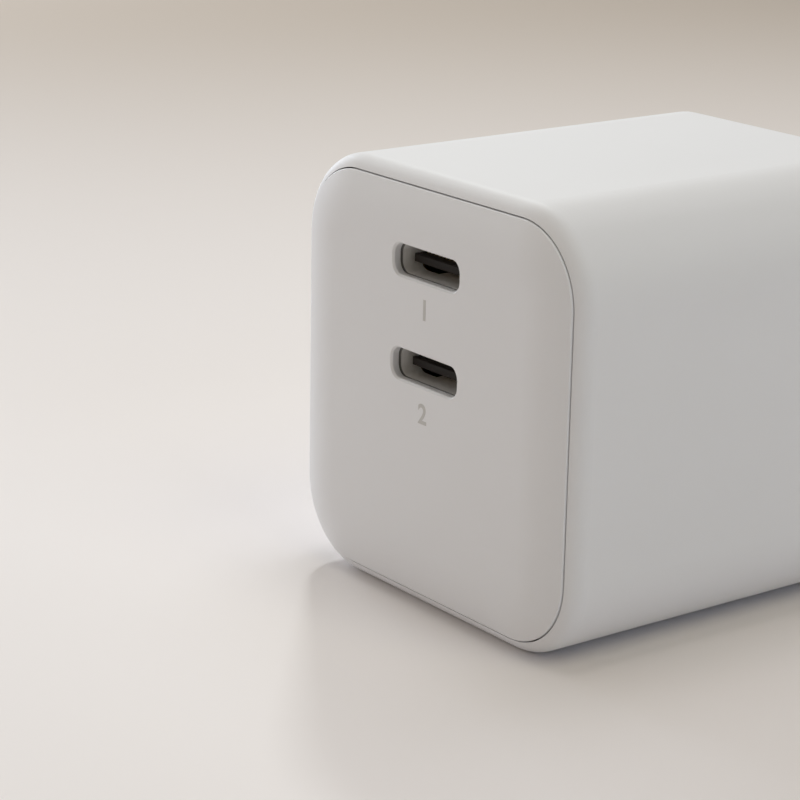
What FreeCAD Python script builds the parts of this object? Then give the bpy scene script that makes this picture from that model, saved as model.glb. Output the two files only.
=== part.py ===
import FreeCAD, Part
import os

import Sketcher

# Two-port USB-C power adapter with a fixed two-pin mains plug.
# Millimetres, +Z up. The ports face -Y and the plug points to +Y. The origin is the middle of the
# underside, so z = 0 is the face that the adapter lies on and y = 0 is half way along the housing.

SIZES = (
    # housing
    ("body_width", 37.1, "housing across"),
    ("body_height", 37.1, "housing from underside to top"),
    ("body_depth", 39.5, "housing from rim to back face"),
    ("corner_radius", 7.55, "long edges of the housing"),
    ("rim_radius", 1.6, "front edge of the housing"),
    ("back_radius", 1.5, "back edge of the housing"),
    ("back_wall", 2.4, "back wall of the housing"),
    ("rim_width", 1.2, "from the side of the housing to the cover"),
    ("ledge_width", 0.5, "step that the cover sits on"),
    # front cover
    ("cover_clearance", 0.12, "parting gap round the cover"),
    ("cover_proud", 0.92, "cover face ahead of the rim"),
    ("cover_seat", 1.5, "cover let into the housing"),
    ("roll_run", 4.4, "width of the soft border of the cover"),
    ("roll_drop", 0.85, "fall of the soft border"),
    ("cover_edge_radius", 0.12, "outer edge of the cover"),
    ("skirt_length", 4.0, "skirt behind the cover"),
    ("skirt_wall", 1.2, "wall of the skirt"),
    ("skirt_clearance", 0.12, "gap round the skirt"),
    # ports
    ("port_width", 8.72, "port mouth across"),
    ("port_height", 2.63, "port mouth height"),
    ("port_radius", 1.0, "corners of the port mouth"),
    ("port_drop", 7.23, "from the top of the housing to the upper port"),
    ("port_pitch", 8.82, "from the upper port to the lower one"),
    ("port_mouth", 0.16, "slope round the port mouth"),
    ("port_lip", 0.74, "plastic ahead of the receptacle"),
    ("port_gap", 0.1, "room round the receptacle"),
    ("shell_width", 8.34, "receptacle opening across"),
    ("shell_height", 2.56, "receptacle opening height"),
    ("shell_radius", 0.95, "corners of the receptacle opening"),
    ("shell_wall", 0.3, "sheet of the receptacle sleeve"),
    ("shell_length", 9.0, "receptacle from mouth to board"),
    ("window_setback", 1.92, "leg windows of the sleeve behind its mouth"),
    ("window_length", 2.2, "leg window along the sleeve"),
    ("window_spacing", 3.54, "from leg window to leg window"),
    ("window_head", 0.4, "middle of the port above a leg window"),
    ("tongue_width", 6.69, "tongue across"),
    ("tongue_thickness", 0.7, "tongue thickness"),
    ("tongue_setback", 0.56, "tongue tip behind the receptacle mouth"),
    ("tongue_tip_radius", 0.12, "edge of the tongue tip"),
    ("insulator_depth", 3.0, "block at the root of the tongue"),
    ("insulator_gap", 0.04, "room round that block"),
    ("contact_count", 12, "contacts on each face of the tongue"),
    ("contact_pitch", 0.5, "from contact to contact"),
    ("contact_width", 0.25, "contact across"),
    ("contact_length", 3.4, "contact along the tongue"),
    ("contact_thickness", 0.05, "contact above the tongue"),
    ("contact_setback", 0.9, "contact behind the tongue tip"),
    # mains plug
    ("pedestal_width", 33.0, "plug pedestal across"),
    ("pedestal_height", 13.7, "plug pedestal height"),
    ("pedestal_cut", 4.6, "slanted corners of the pedestal"),
    ("pedestal_length", 17.5, "pedestal behind the back face"),
    ("pedestal_wall", 2.0, "wall of the pedestal"),
    ("pedestal_end_wall", 3.0, "end wall that holds the pins"),
    ("pedestal_draft", 1.0, "degrees of draft on the pedestal"),
    ("pedestal_edge", 0.8, "edges of the pedestal"),
    ("pin_spacing", 19.0, "from pin to pin"),
    ("pin_radius", 2.0, "bare end of a pin"),
    ("pin_core_radius", 1.4, "pin under its sleeve"),
    ("pin_reach", 19.0, "pin beyond the pedestal"),
    ("pin_tip_radius", 1.8, "rounding of the pin tip"),
    ("pin_clearance", 0.05, "room round the pin"),
    ("pin_stem", 5.0, "pin behind its boss"),
    ("sleeve_radius", 1.75, "insulating sleeve of a pin"),
    ("sleeve_length", 10.0, "sleeve along the pin"),
    ("boss_radius", 3.6, "boss round the pin inside"),
    ("boss_length", 5.0, "boss along the pin"),
    ("spring_thickness", 0.4, "strip from pin to board"),
    ("spring_width", 3.0, "strip across"),
    ("spring_foot", 1.2, "soldered foot of the strip"),
    ("spring_bend", 0.5, "inner radius of the strip's bends"),
    ("spring_room", 2.4, "strip ahead of the back wall"),
    # boards and sheets
    ("board_thickness", 1.2, "main board"),
    ("board_gap", 0.3, "room round the main board"),
    ("board_corner", 1.0, "corners of the boards"),
    ("rail_depth", 1.2, "board rail, from the wall"),
    ("rail_height", 1.5, "board rail"),
    ("rail_play", 0.1, "board under its upper rail"),
    ("port_board_width", 24.0, "port board across"),
    ("port_board_thickness", 1.0, "port board"),
    ("port_board_head", 3.5, "port board above the upper port"),
    ("tab_width", 4.0, "tab of the port board"),
    ("tab_spacing", 14.0, "from tab to tab"),
    ("tab_play", 0.1, "room round a tab"),
    ("spreader_gap", 0.2, "heat spreader inside the housing"),
    ("spreader_thickness", 0.5, "heat spreader sheet"),
    ("film_gap", 0.05, "film inside the heat spreader"),
    ("film_thickness", 0.25, "insulating film"),
    ("part_gap", 0.8, "room between the parts on the boards"),
    # transformer
    ("core_length", 12.0, "core across"),
    ("core_width", 12.0, "core along the board"),
    ("core_height", 15.0, "both core halves"),
    ("core_yoke", 2.2, "core above and below the winding"),
    ("core_leg", 1.6, "outer legs of the core"),
    ("core_post_radius", 2.0, "round middle leg"),
    ("core_corner", 0.6, "upright edges of the core"),
    ("bobbin_wall", 0.7, "tube and flanges of the bobbin"),
    ("bobbin_gap", 0.15, "room round the bobbin and the winding"),
    # wound and canned parts
    ("bulk_radius", 4.0, "input capacitor"),
    ("bulk_height", 20.0, "input capacitor"),
    ("output_radius", 2.5, "output capacitor"),
    ("output_height", 9.0, "output capacitor"),
    ("crimp_height", 1.6, "crimp above the foot of a can"),
    ("crimp_depth", 0.35, "crimp into a can"),
    ("can_edge", 0.4, "slope at the top edge of a can"),
    ("choke_radius", 4.8, "ring core of the choke"),
    ("choke_bore", 2.6, "ring core of the choke, hole"),
    ("choke_width", 3.6, "ring core of the choke, along its axis"),
    ("choke_wire", 1.0, "winding on the ring core"),
    ("choke_gap", 0.1, "winding off the ring core"),
    ("choke_turn", 130.0, "degrees that each winding covers"),
    ("fuse_radius", 2.0, "fuse"),
    ("fuse_height", 7.0, "fuse"),
    ("disc_radius", 2.5, "safety capacitor"),
    ("disc_thickness", 2.6, "safety capacitor"),
    ("disc_edge", 0.7, "slope at the edge of the safety capacitor"),
    ("disc_lead", 0.3, "safety capacitor lead"),
    ("disc_lift", 1.0, "safety capacitor above the board"),
    ("film_cap_width", 12.0, "suppression capacitor"),
    ("film_cap_length", 7.0, "suppression capacitor"),
    ("film_cap_height", 5.0, "suppression capacitor"),
    ("film_cap_edge", 0.5, "upright edges of the suppression capacitor"),
    # chips
    ("package_taper", 6.0, "degrees of draft on a chip"),
    ("bridge_size", 7.0, "bridge rectifier"),
    ("bridge_height", 1.6, "bridge rectifier"),
    ("switch_size", 6.0, "primary switch"),
    ("switch_height", 0.9, "primary switch"),
    ("rectifier_size", 5.0, "secondary rectifier"),
    ("rectifier_height", 0.9, "secondary rectifier"),
    ("coupler_size", 4.6, "optocoupler"),
    ("coupler_height", 2.2, "optocoupler"),
    ("protocol_size", 4.0, "port controller"),
    ("protocol_height", 0.8, "port controller"),
)

# Places along Y, Z and X, worked out from the sizes.
RIM_Y = "(-Sizes.body_depth / 2)"
BACK_Y = "(Sizes.body_depth / 2)"
FRONT_Y = f"({RIM_Y} - Sizes.cover_proud)"
SEAT_Y = f"({RIM_Y} + Sizes.cover_seat)"
SKIRT_Y = f"({SEAT_Y} + Sizes.skirt_length)"
INNER_BACK_Y = f"({BACK_Y} - Sizes.back_wall)"
PEDESTAL_Y = f"({BACK_Y} + Sizes.pedestal_length)"
PEDESTAL_INNER_Y = f"({PEDESTAL_Y} - Sizes.pedestal_end_wall)"
BOSS_Y = f"({PEDESTAL_INNER_Y} - Sizes.boss_length)"
SHELL_Y = f"({FRONT_Y} + Sizes.port_lip + Sizes.port_gap)"
TONGUE_Y = f"({SHELL_Y} + Sizes.tongue_setback)"
PORT_BOARD_Y = f"({SHELL_Y} + Sizes.shell_length)"
PORT_BOARD_BACK_Y = f"({PORT_BOARD_Y} + Sizes.port_board_thickness)"
BOARD_FRONT_Y = f"({SKIRT_Y} + Sizes.board_gap)"
BOARD_BACK_Y = f"({INNER_BACK_Y} - Sizes.board_gap)"
SPRING_Y = f"({INNER_BACK_Y} - Sizes.spring_room)"
PARTS_FRONT_Y = f"({PORT_BOARD_BACK_Y} + Sizes.part_gap)"
PARTS_BACK_Y = f"({SPRING_Y} - Sizes.part_gap)"

MID_Z = "(Sizes.body_height / 2)"
UPPER_PORT_Z = "(Sizes.body_height - Sizes.port_drop)"
LOWER_PORT_Z = f"({UPPER_PORT_Z} - Sizes.port_pitch)"
BOARD_Z = "Sizes.corner_radius"
BOARD_TOP_Z = f"({BOARD_Z} + Sizes.board_thickness)"
UPPER_RAIL_Z = f"({BOARD_TOP_Z} + Sizes.rail_play)"
SHEET_FOOT_Z = f"({UPPER_RAIL_Z} + Sizes.rail_height)"

WALL = "(Sizes.rim_width + Sizes.ledge_width)"
PIN_X = "(Sizes.pin_spacing / 2)"
CAVITY_X = f"(Sizes.body_width / 2 - {WALL})"
SHEETS = "(Sizes.spreader_gap + Sizes.spreader_thickness + Sizes.film_gap + Sizes.film_thickness)"
PARTS_X = f"({CAVITY_X} - {SHEETS} - Sizes.part_gap)"
TRANSFORMER_X = f"(Sizes.core_length / 2 - {PARTS_X})"
TRANSFORMER_Y = f"({PARTS_FRONT_Y} + Sizes.core_width / 2)"
CHOKE_REACH = "(Sizes.choke_radius + Sizes.choke_gap + Sizes.choke_wire)"
CHOKE_HALF = "(Sizes.choke_width / 2 + Sizes.choke_gap + Sizes.choke_wire)"

LENGTH_TOLERANCE = 1e-4

doc = FreeCAD.newDocument("power_adapter")
sheet = doc.addObject("Spreadsheet::Sheet", "Sizes")
subparts = []


def fill_sheet():
    """Write each size, its alias and what it measures into a row of the sheet."""
    for row, (alias, size, meaning) in enumerate(SIZES, start=1):
        sheet.set(f"A{row}", meaning)
        sheet.set(f"B{row}", str(size))
        sheet.setAlias(f"B{row}", alias)
    doc.recompute()


def value(expression):
    """The number that an expression on the sheet gives now."""
    return float(sheet.evalExpression(expression))


def new_body(label):
    """Start a sub-part."""
    body = doc.addObject("PartDesign::Body", label)
    body.Label = label
    subparts.append(body)
    return body


def origin_plane(body, role):
    """One of the body's own origin planes."""
    return next(plane for plane in body.Origin.OriginFeatures if plane.Role == role)


def sketch_on(body, role, x="0", y="0", z="0"):
    """Start a sketch parallel to an origin plane, with its own origin at x, y, z."""
    sketch = body.newObject("Sketcher::SketchObject", f"{body.Label}_sketch")
    sketch.AttachmentSupport = (origin_plane(body, role), [""])
    sketch.MapMode = "FlatFace"
    offsets = {
        "XY_Plane": (x, y, z),
        "XZ_Plane": (x, z, f"-{y}"),
        "YZ_Plane": (y, z, x),
    }[role]
    for axis, expression in zip("xyz", offsets):
        sketch.setExpression(f"AttachmentOffset.Base.{axis}", expression)
    return sketch


def constrain(sketch, kind, *args):
    """Add a constraint. A size at the end is an expression, and the constraint follows it."""
    if isinstance(args[-1], str):
        expression = args[-1]
        index = sketch.addConstraint(Sketcher.Constraint(kind, *args[:-1], value(expression)))
        sketch.setExpression(f"Constraints[{index}]", expression)
    else:
        sketch.addConstraint(Sketcher.Constraint(kind, *args))


def draw_rounded_rectangle(sketch, width, height, radius):
    """A rectangle with four equal round corners, centred on the sketch's origin."""
    half_w = value(width) / 2
    half_h = value(height) / 2
    r = value(radius)
    in_w = half_w - r
    in_h = half_h - r
    up = FreeCAD.Vector(0, 0, 1)
    first = sketch.GeometryCount
    sides = (
        ((-in_w, -half_h), (in_w, -half_h)),
        ((half_w, -in_h), (half_w, in_h)),
        ((in_w, half_h), (-in_w, half_h)),
        ((-half_w, in_h), (-half_w, -in_h)),
    )
    for start, end in sides:
        sketch.addGeometry(Part.LineSegment(FreeCAD.Vector(*start, 0), FreeCAD.Vector(*end, 0)))
    right_angle = FreeCAD.Units.Quantity("90 deg").getValueAs("rad").Value
    for turn, centre in enumerate(((in_w, -in_h), (in_w, in_h), (-in_w, in_h), (-in_w, -in_h)), start=-1):
        circle = Part.Circle(FreeCAD.Vector(*centre, 0), up, r)
        sketch.addGeometry(Part.ArcOfCircle(circle, turn * right_angle, (turn + 1) * right_angle))
    for side in range(4):
        constrain(sketch, "Tangent", first + side, 2, first + 4 + side, 1)
        constrain(sketch, "Tangent", first + 4 + side, 2, first + (side + 1) % 4, 1)
        constrain(sketch, "Vertical" if side % 2 else "Horizontal", first + side)
    for corner in range(1, 4):
        constrain(sketch, "Equal", first + 4, first + 4 + corner)
    constrain(sketch, "Symmetric", first + 5, 3, first + 7, 3, -1, 1)
    constrain(sketch, "DistanceX", first + 3, 1, first + 1, 1, width)
    constrain(sketch, "DistanceY", first, 1, first + 2, 1, height)
    constrain(sketch, "Radius", first + 4, radius)


def draw_polygon(sketch, corners):
    """Straight sides through corners that are pairs of expressions."""
    first = sketch.GeometryCount
    points = [FreeCAD.Vector(value(a), value(b), 0) for a, b in corners]
    count = len(points)
    for side in range(count):
        sketch.addGeometry(Part.LineSegment(points[side], points[(side + 1) % count]))
    for side in range(count):
        constrain(sketch, "Coincident", first + side, 2, first + (side + 1) % count, 1)
        constrain(sketch, "DistanceX", -1, 1, first + side, 1, corners[side][0])
        constrain(sketch, "DistanceY", -1, 1, first + side, 1, corners[side][1])


def draw_rectangle(sketch, left, bottom, right, top):
    """A sharp rectangle between four expressions."""
    draw_polygon(sketch, ((left, bottom), (right, bottom), (right, top), (left, top)))


def draw_circle(sketch, x, y, radius):
    """A circle with its centre at a pair of expressions."""
    index = sketch.GeometryCount
    centre = FreeCAD.Vector(value(x), value(y), 0)
    sketch.addGeometry(Part.Circle(centre, FreeCAD.Vector(0, 0, 1), value(radius)))
    constrain(sketch, "DistanceX", -1, 1, index, 3, x)
    constrain(sketch, "DistanceY", -1, 1, index, 3, y)
    constrain(sketch, "Radius", index, radius)


def pad(body, sketch, length, backwards=False, taper=None):
    """Add material along the sketch's normal, or against it."""
    feature = body.newObject("PartDesign::Pad", f"{body.Label}_pad")
    feature.Profile = sketch
    feature.Reversed = backwards
    feature.setExpression("Length", length)
    if taper:
        feature.setExpression("TaperAngle", taper)
    doc.recompute()
    return feature


def pocket(body, sketch, depth, backwards=False):
    """Cut material against the sketch's normal, or along it, and make sure that it cuts."""
    before = body.Shape.Volume
    feature = body.newObject("PartDesign::Pocket", f"{body.Label}_pocket")
    feature.Profile = sketch
    feature.Reversed = backwards
    feature.setExpression("Length", depth)
    doc.recompute()
    if feature.Shape.Volume > before - LENGTH_TOLERANCE:
        raise RuntimeError(f"{feature.Label} cuts nothing")
    return feature


def revolve(body, sketch, axis, angle="360", both_ways=False):
    """Turn a profile about an axis of its sketch."""
    feature = body.newObject("PartDesign::Revolution", f"{body.Label}_turn")
    feature.Profile = sketch
    feature.ReferenceAxis = (sketch, [axis])
    feature.Midplane = both_ways
    feature.setExpression("Angle", angle)
    doc.recompute()
    return feature


def edges_between(feature, low, high):
    """Names of the edges that lie inside a box given by expressions, with None for no limit."""
    reach = FreeCAD.BoundBox(-1e3, -1e3, -1e3, 1e3, 1e3, 1e3)
    lowest = [reach.XMin if e is None else value(e) - LENGTH_TOLERANCE for e in low]
    highest = [reach.XMax if e is None else value(e) + LENGTH_TOLERANCE for e in high]
    names = []
    for number, edge in enumerate(feature.Shape.Edges, start=1):
        box = edge.BoundBox
        inside_low = box.XMin >= lowest[0] and box.YMin >= lowest[1] and box.ZMin >= lowest[2]
        inside_high = box.XMax <= highest[0] and box.YMax <= highest[1] and box.ZMax <= highest[2]
        if inside_low and inside_high:
            names.append(f"Edge{number}")
    if not names:
        raise RuntimeError(f"no edges of {feature.Label} in that box")
    return names


def edges_at(feature, places):
    """Names of the edges that run along X at pairs of Y and Z expressions."""
    return [name for y, z in places for name in edges_between(feature, (None, y, z), (None, y, z))]


def round_edges(body, feature, low, high, radius):
    """Round the edges of a feature that lie inside a box."""
    return round_named(body, feature, edges_between(feature, low, high), radius)


def round_named(body, feature, names, radius):
    """Round the named edges of a feature."""
    fillet = body.newObject("PartDesign::Fillet", f"{body.Label}_round")
    fillet.Base = (feature, names)
    fillet.setExpression("Radius", radius)
    doc.recompute()
    return fillet


def slope_edges(body, feature, low, high, size):
    """Cut a slope on the edges of a feature that lie inside a box."""
    slope = body.newObject("PartDesign::Chamfer", f"{body.Label}_slope")
    slope.Base = (feature, edges_between(feature, low, high))
    slope.setExpression("Size", size)
    doc.recompute()
    return slope


def draw_plug_outline(sketch, inset):
    """The flattened eight-sided outline of the plug pedestal, drawn inwards by an inset."""
    half_w = f"(Sizes.pedestal_width / 2 - {inset})"
    half_h = f"(Sizes.pedestal_height / 2 - {inset})"
    slant = f"(Sizes.pedestal_cut - {inset} * (2 - sqrt(2)))"
    flat_w = f"({half_w} - {slant})"
    flat_h = f"({half_h} - {slant})"
    corners = (
        (f"-{flat_w}", f"-{half_h}"), (flat_w, f"-{half_h}"),
        (half_w, f"-{flat_h}"), (half_w, flat_h),
        (flat_w, half_h), (f"-{flat_w}", half_h),
        (f"-{half_w}", flat_h), (f"-{half_w}", f"-{flat_h}"),
    )
    draw_polygon(sketch, corners)


def make_housing():
    """One moulded cup: rounded long edges, seat for the cover, board rails and the plug pedestal."""
    body = new_body("housing")
    outline = sketch_on(body, "XZ_Plane", y=BACK_Y, z=MID_Z)
    draw_rounded_rectangle(outline, "Sizes.body_width", "Sizes.body_height", "Sizes.corner_radius")
    block = pad(body, outline, "Sizes.body_depth")
    rim = round_edges(body, block, (None, None, None), (None, RIM_Y, None), "Sizes.rim_radius")
    round_edges(body, rim, (None, BACK_Y, None), (None, None, None), "Sizes.back_radius")

    foot = sketch_on(body, "XZ_Plane", y=BACK_Y, z=MID_Z)
    draw_plug_outline(foot, "0")
    pedestal = pad(body, foot, "Sizes.pedestal_length", backwards=True, taper="-Sizes.pedestal_draft")
    behind = edges_between(pedestal, (None, BACK_Y, None), (None, None, None))
    on_back = edges_between(pedestal, (None, BACK_Y, None), (None, BACK_Y, None))
    standing = [name for name in behind if name not in on_back]
    round_named(body, pedestal, standing, "Sizes.pedestal_edge")

    seat = sketch_on(body, "XZ_Plane", y=RIM_Y, z=MID_Z)
    seat_inset = "(Sizes.rim_width - Sizes.cover_clearance)"
    draw_rounded_rectangle(
        seat,
        f"Sizes.body_width - 2 * {seat_inset}",
        f"Sizes.body_height - 2 * {seat_inset}",
        f"Sizes.corner_radius - {seat_inset}",
    )
    pocket(body, seat, "Sizes.cover_seat")

    cavity = sketch_on(body, "XZ_Plane", y=RIM_Y, z=MID_Z)
    draw_rounded_rectangle(
        cavity,
        f"Sizes.body_width - 2 * {WALL}",
        f"Sizes.body_height - 2 * {WALL}",
        f"Sizes.corner_radius - {WALL}",
    )
    pocket(body, cavity, "Sizes.body_depth - Sizes.back_wall")

    hollow = sketch_on(body, "XZ_Plane", y=INNER_BACK_Y, z=MID_Z)
    draw_plug_outline(hollow, "Sizes.pedestal_wall")
    pocket(body, hollow, f"{PEDESTAL_INNER_Y} - {INNER_BACK_Y}")

    bosses = sketch_on(body, "XZ_Plane", y=PEDESTAL_INNER_Y, z=MID_Z)
    draw_circle(bosses, PIN_X, "0", "Sizes.boss_radius")
    draw_circle(bosses, f"-{PIN_X}", "0", "Sizes.boss_radius")
    pad(body, bosses, "Sizes.boss_length")

    bores = sketch_on(body, "XZ_Plane", y=BOSS_Y, z=MID_Z)
    draw_circle(bores, PIN_X, "0", "Sizes.pin_core_radius + Sizes.pin_clearance")
    draw_circle(bores, f"-{PIN_X}", "0", "Sizes.pin_core_radius + Sizes.pin_clearance")
    pocket(body, bores, f"{PEDESTAL_Y} - {BOSS_Y}")

    rails = []
    for low in (f"({BOARD_Z} - Sizes.rail_height)", UPPER_RAIL_Z):
        section = sketch_on(body, "XZ_Plane", y=INNER_BACK_Y, z=low)
        rail_x = f"({CAVITY_X} - Sizes.rail_depth)"
        draw_rectangle(section, rail_x, "0", f"{CAVITY_X} + Sizes.ledge_width", "Sizes.rail_height")
        rails.append(pad(body, section, f"{INNER_BACK_Y} - {BOARD_FRONT_Y}"))
    pair = body.newObject("PartDesign::Mirrored", "housing_rails")
    pair.Originals = rails
    pair.MirrorPlane = (origin_plane(body, "YZ_Plane"), [""])
    body.Tip = pair
    doc.recompute()


def roll_off_border(body):
    """Let the cover's face fall away to its edge along an arc that starts flush with the face."""
    inset = "Sizes.rim_width"
    half_h = f"(Sizes.body_height / 2 - {inset})"
    path = sketch_on(body, "XZ_Plane", y=FRONT_Y, z=MID_Z)
    draw_rounded_rectangle(
        path,
        f"Sizes.body_width - 2 * {inset}",
        f"Sizes.body_height - 2 * {inset}",
        f"Sizes.corner_radius - {inset}",
    )
    path_start_x = "(Sizes.corner_radius - Sizes.body_width / 2)"
    section = sketch_on(body, "YZ_Plane", x=path_start_x, y=FRONT_Y, z=f"({MID_Z} - {half_h})")
    run = value("Sizes.roll_run")
    drop = value("Sizes.roll_drop")
    arc_radius = (run ** 2 + drop ** 2) / (2 * drop)
    start = FreeCAD.Vector(0, run, 0)
    end = FreeCAD.Vector(drop, 0, 0)
    circle = Part.Circle(FreeCAD.Vector(arc_radius, run, 0), FreeCAD.Vector(0, 0, 1), arc_radius)
    arc = Part.ArcOfCircle(circle, circle.parameter(start), circle.parameter(end))
    margin = "Sizes.roll_drop"
    corners = (
        (margin, "0"), (margin, f"-{margin}"), (f"-{margin}", f"-{margin}"),
        (f"-{margin}", "Sizes.roll_run"), ("0", "Sizes.roll_run"),
    )
    points = [FreeCAD.Vector(value(a), value(b), 0) for a, b in corners]
    for side in range(len(points) - 1):
        section.addGeometry(Part.LineSegment(points[side], points[side + 1]))
        if side:
            constrain(section, "Coincident", side - 1, 2, side, 1)
        constrain(section, "DistanceX", -1, 1, side, 1, corners[side][0])
        constrain(section, "DistanceY", -1, 1, side, 1, corners[side][1])
    last = len(points) - 2
    constrain(section, "DistanceX", -1, 1, last, 2, corners[-1][0])
    constrain(section, "DistanceY", -1, 1, last, 2, corners[-1][1])
    section.addGeometry(arc)
    constrain(section, "Coincident", last + 1, 1, last, 2)
    constrain(section, "Coincident", last + 1, 2, 0, 1)
    constrain(section, "Horizontal", last + 1, 1, last + 1, 3)
    doc.recompute()
    border = body.newObject("PartDesign::SubtractivePipe", "front_cover_border")
    border.Profile = section
    border.Spine = (path, [f"Edge{n + 1}" for n in range(len(path.Shape.Edges))])
    doc.recompute()
    return border


def make_front_cover():
    """The pillowed plate with two port mouths, and the skirt that plugs into the housing."""
    body = new_body("front_cover")
    inset = "Sizes.rim_width"
    outline = sketch_on(body, "XZ_Plane", y=SEAT_Y, z=MID_Z)
    draw_rounded_rectangle(
        outline,
        f"Sizes.body_width - 2 * {inset}",
        f"Sizes.body_height - 2 * {inset}",
        f"Sizes.corner_radius - {inset}",
    )
    pad(body, outline, f"{SEAT_Y} - {FRONT_Y}")
    border = roll_off_border(body)
    edge_y = f"{FRONT_Y} + Sizes.roll_drop"
    round_edges(body, border, (None, edge_y, None), (None, edge_y, None), "Sizes.cover_edge_radius")

    skirt = sketch_on(body, "XZ_Plane", y=SEAT_Y, z=MID_Z)
    for wall_inset in (f"({WALL} + Sizes.skirt_clearance)",
                       f"({WALL} + Sizes.skirt_clearance + Sizes.skirt_wall)"):
        draw_rounded_rectangle(
            skirt,
            f"Sizes.body_width - 2 * {wall_inset}",
            f"Sizes.body_height - 2 * {wall_inset}",
            f"Sizes.corner_radius - {wall_inset}",
        )
    pad(body, skirt, "Sizes.skirt_length", backwards=True)

    for port_z in (UPPER_PORT_Z, LOWER_PORT_Z):
        nest = sketch_on(body, "XZ_Plane", y=f"({FRONT_Y} + Sizes.port_lip)", z=port_z)
        nest_room = "(2 * Sizes.shell_wall + 2 * Sizes.port_gap)"
        draw_rounded_rectangle(
            nest,
            f"Sizes.shell_width + {nest_room}",
            f"Sizes.shell_height + {nest_room}",
            f"Sizes.shell_radius + {nest_room} / 2",
        )
        pocket(body, nest, f"{SEAT_Y} - {FRONT_Y} - Sizes.port_lip")
        mouth = sketch_on(body, "XZ_Plane", y=FRONT_Y, z=port_z)
        draw_rounded_rectangle(mouth, "Sizes.port_width", "Sizes.port_height", "Sizes.port_radius")
        cut = pocket(body, mouth, "Sizes.port_lip")
        half_w = "Sizes.port_width / 2"
        half_h = "Sizes.port_height / 2"
        slope_edges(body, cut, (f"-{half_w}", FRONT_Y, f"{port_z} - {half_h}"),
                    (half_w, FRONT_Y, f"{port_z} + {half_h}"), "Sizes.port_mouth")


def make_port(place, port_z):
    """One receptacle: steel sleeve with leg windows, insulator with its tongue, and its contacts."""
    shell = new_body(f"usb_c_shell_{place}")
    ring = sketch_on(shell, "XZ_Plane", y=PORT_BOARD_Y, z=port_z)
    draw_rounded_rectangle(ring, "Sizes.shell_width + 2 * Sizes.shell_wall",
                           "Sizes.shell_height + 2 * Sizes.shell_wall",
                           "Sizes.shell_radius + Sizes.shell_wall")
    draw_rounded_rectangle(ring, "Sizes.shell_width", "Sizes.shell_height", "Sizes.shell_radius")
    pad(shell, ring, "Sizes.shell_length")
    windows = sketch_on(shell, "XZ_Plane", y=f"({SHELL_Y} + Sizes.window_setback)", z=port_z)
    near_x = "Sizes.window_spacing / 2"
    far_x = "(Sizes.shell_width / 2 + 2 * Sizes.shell_wall)"
    low_z = "(-Sizes.shell_height / 2 - 2 * Sizes.shell_wall)"
    draw_rectangle(windows, near_x, low_z, far_x, "-Sizes.window_head")
    draw_rectangle(windows, f"-{far_x}", low_z, f"-{near_x}", "-Sizes.window_head")
    pocket(shell, windows, "Sizes.window_length")

    insulator = new_body(f"usb_c_tongue_{place}")
    block = sketch_on(insulator, "XZ_Plane", y=PORT_BOARD_Y, z=port_z)
    draw_rounded_rectangle(block, "Sizes.shell_width - 2 * Sizes.insulator_gap",
                           "Sizes.shell_height - 2 * Sizes.insulator_gap",
                           "Sizes.shell_radius - Sizes.insulator_gap")
    pad(insulator, block, "Sizes.insulator_depth")
    section = sketch_on(insulator, "XZ_Plane", y=f"({PORT_BOARD_Y} - Sizes.insulator_depth)", z=port_z)
    half_w = "Sizes.tongue_width / 2"
    half_t = "Sizes.tongue_thickness / 2"
    draw_rectangle(section, f"-{half_w}", f"-{half_t}", half_w, half_t)
    tongue = pad(insulator, section, f"{PORT_BOARD_Y} - Sizes.insulator_depth - {TONGUE_Y}")
    round_edges(insulator, tongue, (None, TONGUE_Y, None), (None, TONGUE_Y, None),
                "Sizes.tongue_tip_radius")

    contacts = new_body(f"usb_c_contacts_{place}")
    contacts.AllowCompound = True
    first_x = "(-(Sizes.contact_count - 1) * Sizes.contact_pitch / 2)"
    middle_y = f"({TONGUE_Y} + Sizes.contact_setback + Sizes.contact_length / 2)"
    for side in (1, -1):
        face_z = f"({port_z} + {side} * Sizes.tongue_thickness / 2)"
        strip = sketch_on(contacts, "XY_Plane", x=first_x, y=middle_y, z=face_z)
        half_w = "Sizes.contact_width / 2"
        half_l = "Sizes.contact_length / 2"
        draw_rectangle(strip, f"-{half_w}", f"-{half_l}", half_w, half_l)
        contact = pad(contacts, strip, "Sizes.contact_thickness", backwards=side < 0)
        row = contacts.newObject("PartDesign::LinearPattern", f"{contacts.Label}_row")
        row.Originals = [contact]
        row.Direction = (strip, ["H_Axis"])
        row.setExpression("Length", "(Sizes.contact_count - 1) * Sizes.contact_pitch")
        row.setExpression("Occurrences", "Sizes.contact_count")
        contacts.Tip = row
        doc.recompute()


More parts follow.
